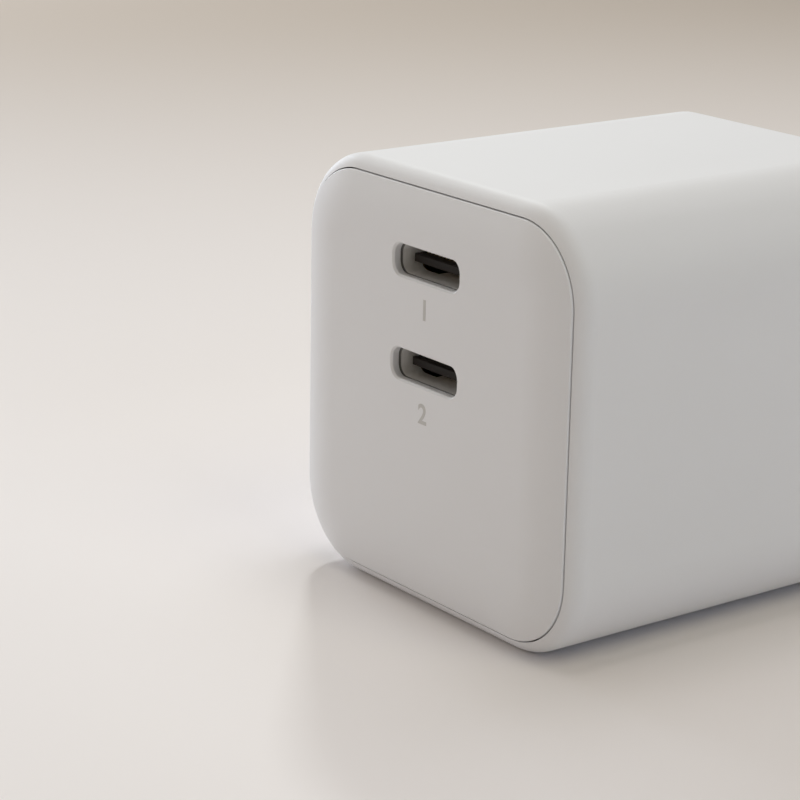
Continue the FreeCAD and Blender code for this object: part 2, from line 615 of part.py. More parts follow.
def make_pin(place, side):
    """One mains pin with its insulating sleeve and the strip that takes its current to the board."""
    pin_x = f"({side} * {PIN_X})"
    pin = new_body(f"plug_pin_{place}")
    profile = sketch_on(pin, "XY_Plane", x=pin_x, z=MID_Z)
    stem_y = f"{BOSS_Y} - Sizes.pin_stem"
    bare_y = f"{PEDESTAL_Y} + Sizes.sleeve_length"
    tip_y = f"{PEDESTAL_Y} + Sizes.pin_reach"
    draw_polygon(profile, (
        ("0", stem_y), ("Sizes.pin_core_radius", stem_y), ("Sizes.pin_core_radius", bare_y),
        ("Sizes.pin_radius", bare_y), ("Sizes.pin_radius", tip_y), ("0", tip_y),
    ))
    turned = revolve(pin, profile, "V_Axis")
    round_edges(pin, turned, (None, tip_y, None), (None, None, None), "Sizes.pin_tip_radius")

    sleeve = new_body(f"pin_sleeve_{place}")
    wall = sketch_on(sleeve, "XY_Plane", x=pin_x, z=MID_Z)
    draw_rectangle(wall, "Sizes.pin_core_radius + Sizes.pin_clearance", PEDESTAL_Y,
                   "Sizes.sleeve_radius", bare_y)
    revolve(sleeve, wall, "V_Axis")

    spring = new_body(f"pin_spring_{place}")
    strip = sketch_on(spring, "YZ_Plane", x=f"({pin_x} - Sizes.spring_width / 2)")
    near_y = SPRING_Y
    far_y = f"({SPRING_Y} + Sizes.spring_thickness)"
    foot_y = f"({far_y} + Sizes.spring_foot)"
    end_y = f"({BOSS_Y} - Sizes.board_gap)"
    foot_z = f"({BOARD_TOP_Z} + Sizes.spring_thickness)"
    run_z = f"({MID_Z} + Sizes.pin_core_radius + Sizes.pin_clearance)"
    top_z = f"({run_z} + Sizes.spring_thickness)"
    draw_polygon(strip, (
        (near_y, BOARD_TOP_Z), (foot_y, BOARD_TOP_Z), (foot_y, foot_z), (far_y, foot_z),
        (far_y, run_z), (end_y, run_z), (end_y, top_z), (near_y, top_z),
    ))
    bent = pad(spring, strip, "Sizes.spring_width")
    inside = [(far_y, foot_z), (far_y, run_z)]
    outside = [(near_y, BOARD_TOP_Z), (near_y, top_z)]
    inner = round_named(spring, bent, edges_at(bent, inside), "Sizes.spring_bend")
    round_named(spring, inner, edges_at(inner, outside), "Sizes.spring_bend + Sizes.spring_thickness")


def make_main_board():
    """The board in the housing's rails, with two slots for the port board's tabs."""
    body = new_body("main_board")
    outline = sketch_on(body, "XY_Plane", y=f"(({BOARD_FRONT_Y} + {BOARD_BACK_Y}) / 2)", z=BOARD_Z)
    draw_rounded_rectangle(outline, f"2 * {CAVITY_X} - 2 * Sizes.board_gap",
                           f"{BOARD_BACK_Y} - {BOARD_FRONT_Y}", "Sizes.board_corner")
    pad(body, outline, "Sizes.board_thickness")
    slots = sketch_on(body, "XY_Plane", z=BOARD_TOP_Z)
    half_slot = "(Sizes.tab_width / 2 + Sizes.tab_play)"
    for side in ("-", ""):
        middle = f"{side}Sizes.tab_spacing / 2"
        draw_rectangle(slots, f"{middle} - {half_slot}", f"{PORT_BOARD_Y} - Sizes.tab_play",
                       f"{middle} + {half_slot}", f"{PORT_BOARD_BACK_Y} + Sizes.tab_play")
    pocket(body, slots, "Sizes.board_thickness")


def make_port_board():
    """The upright board behind the ports, standing on the main board with its tabs through it."""
    body = new_body("port_board")
    top_z = f"({UPPER_PORT_Z} + Sizes.port_board_head)"
    outline = sketch_on(body, "XZ_Plane", y=PORT_BOARD_BACK_Y, z=f"(({BOARD_TOP_Z} + {top_z}) / 2)")
    draw_rounded_rectangle(outline, "Sizes.port_board_width", f"{top_z} - {BOARD_TOP_Z}",
                           "Sizes.board_corner")
    pad(body, outline, "Sizes.port_board_thickness")
    tabs = sketch_on(body, "XZ_Plane", y=PORT_BOARD_BACK_Y)
    for side in ("-", ""):
        middle = f"{side}Sizes.tab_spacing / 2"
        draw_rectangle(tabs, f"{middle} - Sizes.tab_width / 2", BOARD_Z,
                       f"{middle} + Sizes.tab_width / 2", f"{BOARD_TOP_Z} + Sizes.board_corner")
    pad(body, tabs, "Sizes.port_board_thickness")


def make_folded_sheet(label, inset, thickness):
    """A sheet bent into an arch that follows the inside of the housing and stands on the rails."""
    body = new_body(label)
    arch = sketch_on(body, "XZ_Plane", y=PARTS_BACK_Y, z=MID_Z)
    for depth in (f"({WALL} + {inset})", f"({WALL} + {inset} + {thickness})"):
        draw_rounded_rectangle(arch, f"Sizes.body_width - 2 * {depth}", f"Sizes.body_height - 2 * {depth}",
                               f"Sizes.corner_radius - {depth}")
    pad(body, arch, f"{PARTS_BACK_Y} - {PARTS_FRONT_Y}")
    below = sketch_on(body, "XZ_Plane", y=PARTS_FRONT_Y)
    draw_rectangle(below, f"-{CAVITY_X}", "0", CAVITY_X, SHEET_FOOT_Z)
    pocket(body, below, f"{PARTS_BACK_Y} - {PARTS_FRONT_Y}")


def make_core_half(label, base_z, downwards):
    """One half of the transformer core: a yoke, two flat outer legs and a round middle leg."""
    body = new_body(label)
    yoke = sketch_on(body, "XY_Plane", x=TRANSFORMER_X, y=TRANSFORMER_Y, z=base_z)
    draw_rounded_rectangle(yoke, "Sizes.core_length", "Sizes.core_width", "Sizes.core_corner")
    pad(body, yoke, "Sizes.core_yoke", backwards=downwards)
    legs = sketch_on(body, "XY_Plane", x=TRANSFORMER_X, y=TRANSFORMER_Y, z=base_z)
    outer_x = "Sizes.core_length / 2"
    inner_x = "(Sizes.core_length / 2 - Sizes.core_leg)"
    half_y = "(Sizes.core_width / 2 - Sizes.core_corner)"
    draw_rectangle(legs, inner_x, f"-{half_y}", outer_x, half_y)
    draw_rectangle(legs, f"-{outer_x}", f"-{half_y}", f"-{inner_x}", half_y)
    draw_circle(legs, "0", "0", "Sizes.core_post_radius")
    pad(body, legs, "Sizes.core_height / 2", backwards=downwards)


def make_transformer():
    """Core halves that meet at half height, the bobbin on the middle leg and its winding."""
    make_core_half("transformer_core_lower", BOARD_TOP_Z, downwards=False)
    make_core_half("transformer_core_upper", f"({BOARD_TOP_Z} + Sizes.core_height)", downwards=True)
    tube_in = "(Sizes.core_post_radius + Sizes.bobbin_gap)"
    tube_out = f"({tube_in} + Sizes.bobbin_wall)"
    flange = "(Sizes.core_length / 2 - Sizes.core_leg - Sizes.bobbin_gap)"
    low = f"({BOARD_TOP_Z} + Sizes.core_yoke + Sizes.bobbin_gap)"
    high = f"({BOARD_TOP_Z} + Sizes.core_height - Sizes.core_yoke - Sizes.bobbin_gap)"
    low_flange = f"({low} + Sizes.bobbin_wall)"
    high_flange = f"({high} - Sizes.bobbin_wall)"
    bobbin = new_body("transformer_bobbin")
    spool = sketch_on(bobbin, "XZ_Plane", x=TRANSFORMER_X, y=TRANSFORMER_Y)
    draw_polygon(spool, (
        (tube_in, low), (flange, low), (flange, low_flange), (tube_out, low_flange),
        (tube_out, high_flange), (flange, high_flange), (flange, high), (tube_in, high),
    ))
    revolve(bobbin, spool, "V_Axis")
    winding = new_body("transformer_winding")
    turns = sketch_on(winding, "XZ_Plane", x=TRANSFORMER_X, y=TRANSFORMER_Y)
    draw_rectangle(turns, f"{tube_out} + Sizes.bobbin_gap", f"{low_flange} + Sizes.bobbin_gap",
                   f"{flange} - Sizes.bobbin_gap", f"{high_flange} - Sizes.bobbin_gap")
    revolve(winding, turns, "V_Axis")


def make_can(label, radius, height, x, y):
    """A canned capacitor that stands on the main board, with the crimp near its foot."""
    body = new_body(label)
    profile = sketch_on(body, "XZ_Plane", x=x, y=y, z=BOARD_TOP_Z)
    waist = f"{radius} - Sizes.crimp_depth"
    crimp_low = "Sizes.crimp_height - Sizes.crimp_depth"
    crimp_high = "Sizes.crimp_height + Sizes.crimp_depth"
    draw_polygon(profile, (
        ("0", "0"), (radius, "0"), (radius, crimp_low), (waist, "Sizes.crimp_height"),
        (radius, crimp_high), (radius, f"{height} - Sizes.can_edge"),
        (f"{radius} - Sizes.can_edge", height), ("0", height),
    ))
    revolve(body, profile, "V_Axis")


def make_cans():
    """Two input capacitors along one wall, two output capacitors and the fuse in the middle."""
    bulk_x = f"({PARTS_X} - Sizes.bulk_radius)"
    front_y = f"({PARTS_FRONT_Y} + Sizes.bulk_radius)"
    rear_y = f"({PARTS_BACK_Y} - Sizes.bulk_radius)"
    make_can("bulk_capacitor_front", "Sizes.bulk_radius", "Sizes.bulk_height", bulk_x, front_y)
    make_can("bulk_capacitor_rear", "Sizes.bulk_radius", "Sizes.bulk_height", bulk_x, rear_y)
    middle_x = f"({TRANSFORMER_X} + Sizes.core_length / 2 + Sizes.part_gap + Sizes.output_radius)"
    first_y = f"({PARTS_FRONT_Y} + Sizes.output_radius)"
    second_y = f"({first_y} + 2 * Sizes.output_radius + Sizes.part_gap)"
    make_can("output_capacitor_front", "Sizes.output_radius", "Sizes.output_height", middle_x, first_y)
    make_can("output_capacitor_rear", "Sizes.output_radius", "Sizes.output_height", middle_x, second_y)
    fuse = doc.addObject("Part::Cylinder", "fuse")
    fuse.Label = "fuse"
    fuse.setExpression("Radius", "Sizes.fuse_radius")
    fuse.setExpression("Height", "Sizes.fuse_height")
    fuse.setExpression("Placement.Base.x", middle_x)
    fuse.setExpression("Placement.Base.y", f"{PARTS_BACK_Y} - Sizes.fuse_radius")
    fuse.setExpression("Placement.Base.z", BOARD_TOP_Z)
    subparts.append(fuse)
    disc_y = f"({PARTS_BACK_Y} - 2 * Sizes.fuse_radius - Sizes.part_gap - Sizes.disc_thickness / 2)"
    make_disc_capacitor(middle_x, disc_y)


def make_disc_capacitor(x, y):
    """The safety capacitor: a dipped disc on two leads."""
    body = new_body("y_capacitor")
    middle_z = f"({BOARD_TOP_Z} + Sizes.disc_lift + Sizes.disc_radius)"
    profile = sketch_on(body, "XY_Plane", x=x, y=y, z=middle_z)
    half = "Sizes.disc_thickness / 2"
    face = "Sizes.disc_radius - Sizes.disc_edge"
    draw_polygon(profile, (
        ("0", f"-{half}"), (face, f"-{half}"), ("Sizes.disc_radius", f"-{half} + Sizes.disc_edge"),
        ("Sizes.disc_radius", f"{half} - Sizes.disc_edge"), (face, half), ("0", half),
    ))
    revolve(body, profile, "V_Axis")
    leads = sketch_on(body, "XY_Plane", x=x, y=y, z=BOARD_TOP_Z)
    draw_circle(leads, "Sizes.disc_radius / 2", "0", "Sizes.disc_lead")
    draw_circle(leads, "-Sizes.disc_radius / 2", "0", "Sizes.disc_lead")
    pad(body, leads, "Sizes.disc_lift + Sizes.disc_radius")


def make_choke():
    """The input choke: a ring core that stands on its winding, with a winding on each side."""
    x = f"({CHOKE_REACH} - {PARTS_X})"
    y = f"({PARTS_BACK_Y} - {CHOKE_HALF})"
    z = f"({BOARD_TOP_Z} + {CHOKE_REACH})"
    core = new_body("choke_core")
    section = sketch_on(core, "XY_Plane", x=x, y=y, z=z)
    half = "Sizes.choke_width / 2"
    draw_rectangle(section, "Sizes.choke_bore", f"-{half}", "Sizes.choke_radius", half)
    revolve(core, section, "V_Axis")
    for place, side in (("left", "-1"), ("right", "1")):
        winding = new_body(f"choke_winding_{place}")
        ring = sketch_on(winding, "XY_Plane", x=x, y=y, z=z)
        for grow in ("(Sizes.choke_gap + Sizes.choke_wire)", "Sizes.choke_gap"):
            draw_rectangle(ring, f"{side} * (Sizes.choke_bore - {grow})", f"-({half} + {grow})",
                           f"{side} * (Sizes.choke_radius + {grow})", f"{half} + {grow}")
        revolve(winding, ring, "V_Axis", "Sizes.choke_turn", both_ways=True)


def make_chip(label, role, size, height, x, y, z, backwards):
    """A moulded package whose sides slope in from the board that carries it."""
    body = new_body(label)
    outline = sketch_on(body, role, x=x, y=y, z=z)
    half = f"{size} / 2"
    draw_rectangle(outline, f"-{half}", f"-{half}", half, half)
    pad(body, outline, height, backwards=backwards, taper="-Sizes.package_taper")


def make_underside_parts():
    """What hangs under the main board, and the port controller on the port board."""
    film_cap = new_body("x_capacitor")
    x = "(-Sizes.film_cap_width / 2 - Sizes.part_gap)"
    y = f"({PARTS_BACK_Y} - Sizes.film_cap_length / 2)"
    outline = sketch_on(film_cap, "XY_Plane", x=x, y=y, z=BOARD_Z)
    draw_rounded_rectangle(outline, "Sizes.film_cap_width", "Sizes.film_cap_length", "Sizes.film_cap_edge")
    pad(film_cap, outline, "Sizes.film_cap_height", backwards=True)
    right_x = "(Sizes.bridge_size / 2 + Sizes.part_gap)"
    rear_y = f"({PARTS_BACK_Y} - Sizes.bridge_size / 2)"
    switch_y = f"({PARTS_BACK_Y} - Sizes.bridge_size - Sizes.part_gap - Sizes.switch_size / 2)"
    front_y = f"({PARTS_FRONT_Y} + Sizes.rectifier_size / 2)"
    coupler_y = f"({PARTS_FRONT_Y} + Sizes.coupler_size / 2)"
    coupler_x = "(Sizes.coupler_size / 2 + Sizes.part_gap)"
    rectifier_x = "(-Sizes.rectifier_size / 2 - Sizes.part_gap)"
    make_chip("bridge_rectifier", "XY_Plane", "Sizes.bridge_size", "Sizes.bridge_height",
              right_x, rear_y, BOARD_Z, backwards=True)
    make_chip("switch_chip", "XY_Plane", "Sizes.switch_size", "Sizes.switch_height",
              right_x, switch_y, BOARD_Z, backwards=True)
    make_chip("rectifier_chip", "XY_Plane", "Sizes.rectifier_size", "Sizes.rectifier_height",
              rectifier_x, front_y, BOARD_Z, backwards=True)
    make_chip("optocoupler", "XY_Plane", "Sizes.coupler_size", "Sizes.coupler_height",
              coupler_x, coupler_y, BOARD_Z, backwards=True)
    chip_z = f"({BOARD_TOP_Z} + Sizes.part_gap + Sizes.protocol_size / 2)"
    make_chip("protocol_chip", "XZ_Plane", "Sizes.protocol_size", "Sizes.protocol_height",
              "0", PORT_BOARD_Y, chip_z, backwards=False)


def check_document():
    """Stop if an object failed or a sub-part is not one sound shape."""
    for item in doc.Objects:
        if {"Invalid", "Error"} & set(item.State):
            raise RuntimeError(f"{item.Label} failed: {item.State}")
    for item in subparts:
        if item.Shape.isNull() or not item.Shape.isValid() or not item.Shape.Solids:
            raise RuntimeError(f"{item.Label} has no sound shape")


def write_parts():
    """Write each sub-part to a file with its own name."""
    os.makedirs("parts", exist_ok=True)
    for item in subparts:
        item.Shape.exportStep(f"parts/{item.Label}.step")


fill_sheet()
make_housing()
make_front_cover()
make_port("upper", UPPER_PORT_Z)
make_port("lower", LOWER_PORT_Z)
make_pin("left", -1)
make_pin("right", 1)
make_main_board()
make_port_board()
make_folded_sheet("heat_spreader", "Sizes.spreader_gap", "Sizes.spreader_thickness")
make_folded_sheet("insulation_sheet", "(Sizes.spreader_gap + Sizes.spreader_thickness + Sizes.film_gap)",
                  "Sizes.film_thickness")
make_transformer()
make_cans()
make_choke()
make_underside_parts()
doc.recompute()
check_document()
write_parts()
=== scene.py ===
"""Looks of a cube-shaped mains power adapter: its finishes, port numbers, contacts, wire turns and studio."""

import logging
import math
from abc import ABC, abstractmethod
from dataclasses import dataclass, replace
from enum import Enum

import bpy
from mathutils import Matrix, Vector

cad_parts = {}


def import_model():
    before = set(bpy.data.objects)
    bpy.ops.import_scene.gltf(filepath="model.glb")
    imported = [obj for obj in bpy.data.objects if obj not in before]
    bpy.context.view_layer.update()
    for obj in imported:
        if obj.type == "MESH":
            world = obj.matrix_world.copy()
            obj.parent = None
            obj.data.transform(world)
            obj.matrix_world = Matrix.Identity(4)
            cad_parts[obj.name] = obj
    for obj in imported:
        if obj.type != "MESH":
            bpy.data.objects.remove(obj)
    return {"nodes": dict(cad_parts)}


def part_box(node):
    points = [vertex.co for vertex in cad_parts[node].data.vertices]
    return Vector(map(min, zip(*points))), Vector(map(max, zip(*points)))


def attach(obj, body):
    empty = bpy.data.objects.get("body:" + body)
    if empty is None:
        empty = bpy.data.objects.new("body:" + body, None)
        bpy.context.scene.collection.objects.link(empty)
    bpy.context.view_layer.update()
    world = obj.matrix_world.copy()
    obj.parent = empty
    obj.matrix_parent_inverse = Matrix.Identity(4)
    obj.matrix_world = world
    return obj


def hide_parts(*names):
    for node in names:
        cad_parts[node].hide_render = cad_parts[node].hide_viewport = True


LOG = logging.getLogger("power_adapter")

MM = 0.001
BODY = "root"
QUARTER_TURN = math.pi / 2.0

# The wave texture's own distance from band to band at a scale of 1.
WAVE_PERIOD = math.pi / 10.0

Triple = tuple[float, float, float]
Colour = tuple[float, float, float]
Socket = bpy.types.NodeSocket


class Placed(Enum):
    """A choice among places, whose words end the names of the pieces there."""

    @property
    def place(self) -> str:
        """The word that ends the names of the pieces at this place."""
        return self.name.lower()


class Port(Placed):
    """The two receptacles in the front cover, with the number printed under each."""

    UPPER = "1"
    LOWER = "2"


class Side(Placed):
    """Left and right as seen from the front, with the turn that brings a right-hand piece there."""

    LEFT = math.pi
    RIGHT = 0.0


class Axis(Enum):
    """One of the three directions of the object's frame."""

    X = 0
    Y = 1
    Z = 2

    def stretched(self, amount: float) -> Triple:
        """Scale that lengthens a pattern along this axis.

        Args:
            amount: How many times longer the pattern is along the axis than across it.

        Returns:
            The scale along X, Y and Z.
        """
        scale = [1.0, 1.0, 1.0]
        scale[self.value] = 1.0 / amount
        return tuple(scale)


class ShaderTree:
    """The node tree of one material, with short ways to add what the finishes share."""

    def __init__(self, name: str) -> None:
        """Start a material whose only node is a shader on its output.

        Args:
            name: The material's name.
        """
        self.material = bpy.data.materials.new(name)
        self.material.use_nodes = True
        self.nodes = self.material.node_tree.nodes
        self.links = self.material.node_tree.links
        self.nodes.clear()
        self.shader = self.nodes.new("ShaderNodeBsdfPrincipled")
        output = self.nodes.new("ShaderNodeOutputMaterial")
        self.links.new(self.shader.outputs["BSDF"], output.inputs["Surface"])
        self.place = self.nodes.new("ShaderNodeTexCoord").outputs["Object"]

    def constants(self, **values: float) -> None:
        """Set sockets of the shader that are the same all over the surface.

        Args:
            values: Socket names with underscores for spaces, and their values.
        """
        for name, amount in values.items():
            self.shader.inputs[name.replace("_", " ")].default_value = amount

    def link(self, source: Socket, target: str) -> None:
        """Drive one of the shader's sockets by a pattern."""
        self.links.new(source, self.shader.inputs[target])

    def mapped(self, scale: Triple = (1.0, 1.0, 1.0), turn: Triple = (0.0, 0.0, 0.0)) -> Socket:
        """Coordinates that are turned and stretched.

        Args:
            scale: The pattern's scale along each axis.
            turn: The pattern's turn about each axis.

        Returns:
            The vector socket of the mapped coordinates.
        """
        mapping = self.nodes.new("ShaderNodeMapping")
        mapping.inputs["Rotation"].default_value = turn
        mapping.inputs["Scale"].default_value = scale
        self.links.new(self.place, mapping.inputs["Vector"])
        return mapping.outputs["Vector"]

    def reading(self, axis: Axis, place: Socket | None = None) -> Socket:
        """How far along an axis the surface lies.

        Args:
            axis: The axis to read.
            place: The coordinates that it reads, or none for the piece's own.

        Returns:
            The distance from the origin in metres.
        """
        split = self.nodes.new("ShaderNodeSeparateXYZ")
        self.links.new(place or self.place, split.inputs["Vector"])
        return split.outputs[axis.name]

    def noise(self, grain: float, detail: float = 2.0, place: Socket | None = None) -> Socket:
        """A cloudy pattern.

        Args:
            grain: The size of its spots in metres.
            detail: How many finer layers it has.
            place: The coordinates that it reads, or none for the piece's own.

        Returns:
            The pattern, from 0 to 1.
        """
        node = self.nodes.new("ShaderNodeTexNoise")
        node.inputs["Scale"].default_value = 1.0 / grain
        node.inputs["Detail"].default_value = detail
        self.links.new(place or self.place, node.inputs["Vector"])
        return node.outputs["Fac"]

    def bands(self, pitch: float, direction: Axis, wobble: float) -> Socket:
        """Even bands across one axis.

        Args:
            pitch: The distance from band to band in metres.
            direction: The axis that the bands follow one another along.
            wobble: How much the bands wander.

        Returns:
            The pattern, from 0 to 1.
        """
        node = self.nodes.new("ShaderNodeTexWave")
        node.wave_type = "BANDS"
        node.bands_direction = direction.name
        node.inputs["Scale"].default_value = WAVE_PERIOD / pitch
        node.inputs["Distortion"].default_value = wobble
        self.links.new(self.place, node.inputs["Vector"])
        return node.outputs["Fac"]

    def spread(self, source: Socket, low: float, high: float, start: float = 0.0, end: float = 1.0) -> Socket:
        """A pattern's values moved to another range.

        Args:
            source: The pattern.
            low: The value where the pattern is at its start.
            high: The value where the pattern is at its end.
            start: The pattern's value that becomes low.
            end: The pattern's value that becomes high.

        Returns:
            The moved values, held between low and high.
        """
        node = self.nodes.new("ShaderNodeMapRange")
        node.interpolation_type = "SMOOTHSTEP"
        limits = (("From Min", start), ("From Max", end), ("To Min", low), ("To Max", high))
        for name, amount in limits:
            node.inputs[name].default_value = amount
        self.links.new(source, node.inputs["Value"])
        return node.outputs["Result"]

    def tint(self, source: Socket, first: Colour, second: Colour) -> Socket:
        """A colour that goes from one to another with a pattern.

        Args:
            source: The pattern, from 0 to 1.
            first: The colour where it is 0.
            second: The colour where it is 1.

        Returns:
            The colour socket.
        """
        node = self.nodes.new("ShaderNodeMix")
        node.data_type = "RGBA"
        # The colour sockets come after those for the node's other kinds of data, under the same names.
        factor, one, two = node.inputs[0], node.inputs[6], node.inputs[7]
        one.default_value = (*first, 1.0)
        two.default_value = (*second, 1.0)
        self.links.new(source, factor)
        return node.outputs[2]

    def combined(self, first: Socket, second: Socket, operation: str) -> Socket:
        """Two patterns joined by one sum.

        Args:
            first: The first pattern.
            second: The second pattern.
            operation: Blender's name of the sum, such as MULTIPLY.

        Returns:
            The joined pattern.
        """
        node = self.nodes.new("ShaderNodeMath")
        node.operation = operation
        self.links.new(first, node.inputs[0])
        self.links.new(second, node.inputs[1])
        return node.outputs["Value"]

    def relief(self, height: Socket, depth: float) -> None:
        """Raise and sink the surface's shading by a pattern.

        Args:
            height: The pattern, from 0 to 1.
            depth: The relief's full depth in metres.
        """
        node = self.nodes.new("ShaderNodeBump")
        node.inputs["Strength"].default_value = 1.0
        node.inputs["Distance"].default_value = depth
        self.links.new(height, node.inputs["Height"])
        self.links.new(node.outputs["Normal"], self.shader.inputs["Normal"])


def lighter(colour: Colour, share: float) -> Colour:
    """The same colour with each part moved by a share, held under 1."""
    return tuple(min(part * (1.0 + share), 1.0) for part in colour)


@dataclass(frozen=True)
class Finish(ABC):
    """A surface finish that is made as a material on first use.

    Attributes:
        name: The material's name.
        colour: The base colour.
        roughness: The middle of the surface's roughness.
        cloud: The size of the clouds in its colour, in metres.
        darken: How far the clouds darken the colour, as a share of it.
        lighten: How far they lighten it.
        wander: How far the roughness wanders.
        grain: The size of the relief's grain, in metres.
        detail: How many finer layers the grain has.
        depth: The depth of the relief, in metres.
    """

    name: str
    colour: Colour
    roughness: float
    cloud: float = 3.0 * MM
    darken: float = 0.05
    lighten: float = 0.05
    wander: float = 0.05
    grain: float = 0.16 * MM
    detail: float = 3.0
    depth: float = 0.004 * MM

    def material(self) -> bpy.types.Material:
        """The finish as a node material, made once."""
        found = bpy.data.materials.get(self.name)
        if found is not None:
            return found
        tree = ShaderTree(self.name)
        self.paint(tree)
        return tree.material

    @abstractmethod
    def paint(self, tree: ShaderTree) -> None:
        """Add the finish's own nodes to an empty tree."""

    def shades(self, tree: ShaderTree, source: Socket) -> Socket:
        """The colour from its darkest to its lightest shade, with a pattern."""
        return tree.tint(source, lighter(self.colour, -self.darken), lighter(self.colour, self.lighten))

    def roughen(self, tree: ShaderTree, source: Socket) -> None:
        """Let the roughness wander with a pattern."""
        low, high = self.roughness - self.wander, self.roughness + self.wander
        tree.link(tree.spread(source, low, high), "Roughness")

    def clouded(self, tree: ShaderTree) -> None:
        """Let colour and roughness wander a little over the surface."""
        cloud = tree.noise(self.cloud)
        tree.link(self.shades(tree, cloud), "Base Color")
        self.roughen(tree, cloud)

    def grained(self, tree: ShaderTree) -> None:
        """Emboss the grain."""
        tree.relief(tree.noise(self.grain, self.detail), self.depth)


@dataclass(frozen=True)
class MouldedPlastic(Finish):
    """Plastic moulded against a spark-eroded tool, which leaves a fine even grain.

    Attributes:
        gloss: The specular level.
    """

    cloud: float = 9.0 * MM
    darken: float = 0.008
    lighten: float = 0.008
    wander: float = 0.03
    gloss: float = 0.4

    def paint(self, tree: ShaderTree) -> None:
        """Cloud the colour faintly and emboss the grain."""
        tree.constants(Specular_IOR_Level=self.gloss)
        self.clouded(tree)
        self.grained(tree)


@dataclass(frozen=True)
class WorkedMetal(Finish):
    """Metal with fine marks along the way that it was drawn, rolled or turned.

    Attributes:
        along: The direction of the marks.
        stretch: How many times longer the marks are than wide.
        shine: How far it mirrors, from 0 for a dull blasted skin to 1 for bare metal.
    """

    wander: float = 0.07
    grain: float = 0.05 * MM
    depth: float = 0.002 * MM
    along: Axis = Axis.Y
    stretch: float = 40.0
    shine: float = 1.0

    def paint(self, tree: ShaderTree) -> None:
        """Streak the roughness and the surface along the metal's direction."""
        tree.constants(Metallic=self.shine)
        streaks = tree.noise(self.grain, self.detail, tree.mapped(scale=self.along.stretched(self.stretch)))
        tree.link(self.skin(tree), "Base Color")
        self.roughen(tree, streaks)
        tree.relief(streaks, self.depth)

    def skin(self, tree: ShaderTree) -> Socket:
        """The metal's colour, which wanders a little over the surface."""
        return self.shades(tree, tree.noise(self.cloud))


@dataclass(frozen=True)
class CutSleeve(WorkedMetal):
    """A drawn sleeve with painted shade at its front edge, standing in for the dark gap to the cover's lip.

    Attributes:
        cut: Where the sleeve's front edge lies along Y, in metres.
        cut_depth: How far back from the front edge the painted shade runs out, in metres.
        cut_colour: The colour of the painted shade at the front edge.
        cut_colour: The colour of the cut edge.
    """

    cut: float = 0.0
    cut_depth: float = 0.05 * MM
    cut_colour: Colour = (0.2, 0.195, 0.19)

    def skin(self, tree: ShaderTree) -> Socket:
        """The metal's colour, with painted shade at its front edge."""
        # Painted shade: dark at the front edge, turning to the steel's own colour a short way back.
        level = tree.spread(tree.reading(Axis.Y), 0.0, 1.0, start=self.cut, end=self.cut + self.cut_depth)
        return tree.tint(level, self.cut_colour, self.colour)


@dataclass(frozen=True)
class CoatedFinish(Finish):
    """A finish under a clear coat.

    Attributes:
        coat: How much of a coat there is, from 0 to 1.
        coat_roughness: The coat's own roughness.
    """

    coat: float = 0.5
    coat_roughness: float = 0.1

    def coated(self, tree: ShaderTree) -> None:
        """Lay the clear coat."""
        tree.constants(Coat_Weight=self.coat, Coat_Roughness=self.coat_roughness)


@dataclass(frozen=True)
class MaskedLaminate(CoatedFinish):
    """Circuit board laminate, whose glass weave shows through its lacquer.

    Attributes:
        weave: The distance from thread to thread in metres.
        wobble: How much the threads wander.
    """

    darken: float = 0.2
    lighten: float = 0.2
    coat: float = 0.4
    coat_roughness: float = 0.12
    weave: float = 0.45 * MM
    wobble: float = 0.4

    def paint(self, tree: ShaderTree) -> None:
        """Cross the sets of threads under a glossy lacquer."""
        self.coated(tree)
        warp, weft, rise = (tree.bands(self.weave, axis, self.wobble) for axis in Axis)
        threads = tree.combined(tree.combined(warp, weft, "ADD"), rise, "ADD")
        level = tree.spread(threads, 0.0, 1.0, end=float(len(Axis)))
        tree.link(self.shades(tree, level), "Base Color")
        self.roughen(tree, level)
        tree.relief(level, self.depth)


@dataclass(frozen=True)
class PressedFerrite(Finish):
    """Pressed and ground ferrite with pores, its colour darker towards the floor of each pore.

    Attributes:
        pit_floor: The level of the specks that counts as the bottom of a pore.
        pit_rim: The level that counts as its rim.
    """

    darken: float = 0.5
    lighten: float = 0.25
    wander: float = 0.1
    grain: float = 0.12 * MM
    detail: float = 6.0
    depth: float = 0.008 * MM
    pit_floor: float = 0.35
    pit_rim: float = 0.5

    def paint(self, tree: ShaderTree) -> None:
        """Darken the colour towards the floors of the pores and pit the surface."""
        specks = tree.noise(self.grain, self.detail)
        pits = tree.spread(specks, 0.0, 1.0, start=self.pit_floor, end=self.pit_rim)
        tree.link(self.shades(tree, pits), "Base Color")
        self.roughen(tree, specks)
        tree.relief(pits, self.depth)


@dataclass(frozen=True)
class WrappedTape(CoatedFinish):
    """Film tape in overlapping turns, with the edge of each turn showing.

    Attributes:
        turn: The distance from tape edge to tape edge in metres.
        wobble: How much the edges wander.
    """

    darken: float = 0.18
    lighten: float = 0.12
    wander: float = 0.06
    grain: float = 1.2 * MM
    depth: float = 0.02 * MM
    coat_roughness: float = 0.15
    turn: float = 1.4 * MM
    wobble: float = 0.6

    def paint(self, tree: ShaderTree) -> None:
        """Step the surface at each edge of the tape and cloud the glue below it."""
        self.coated(tree)
        edges = tree.bands(self.turn, Axis.Z, self.wobble)
        glue = tree.noise(self.grain, self.detail)
        tree.link(self.shades(tree, tree.combined(edges, glue, "MULTIPLY")), "Base Color")
        self.roughen(tree, glue)
        tree.relief(edges, self.depth)


@dataclass(frozen=True)
class EnamelledWire(CoatedFinish):
    """Copper wire under amber enamel."""

    cloud: float = 0.8 * MM
    darken: float = 0.12
    lighten: float = 0.12
    grain: float = 0.3 * MM
    detail: float = 2.0
    depth: float = 0.003 * MM
    coat: float = 0.8

    def paint(self, tree: ShaderTree) -> None:
        """Cloud the copper and cover it with a clear coat."""
        tree.constants(Metallic=1.0)
        self.coated(tree)
        self.clouded(tree)
        self.grained(tree)


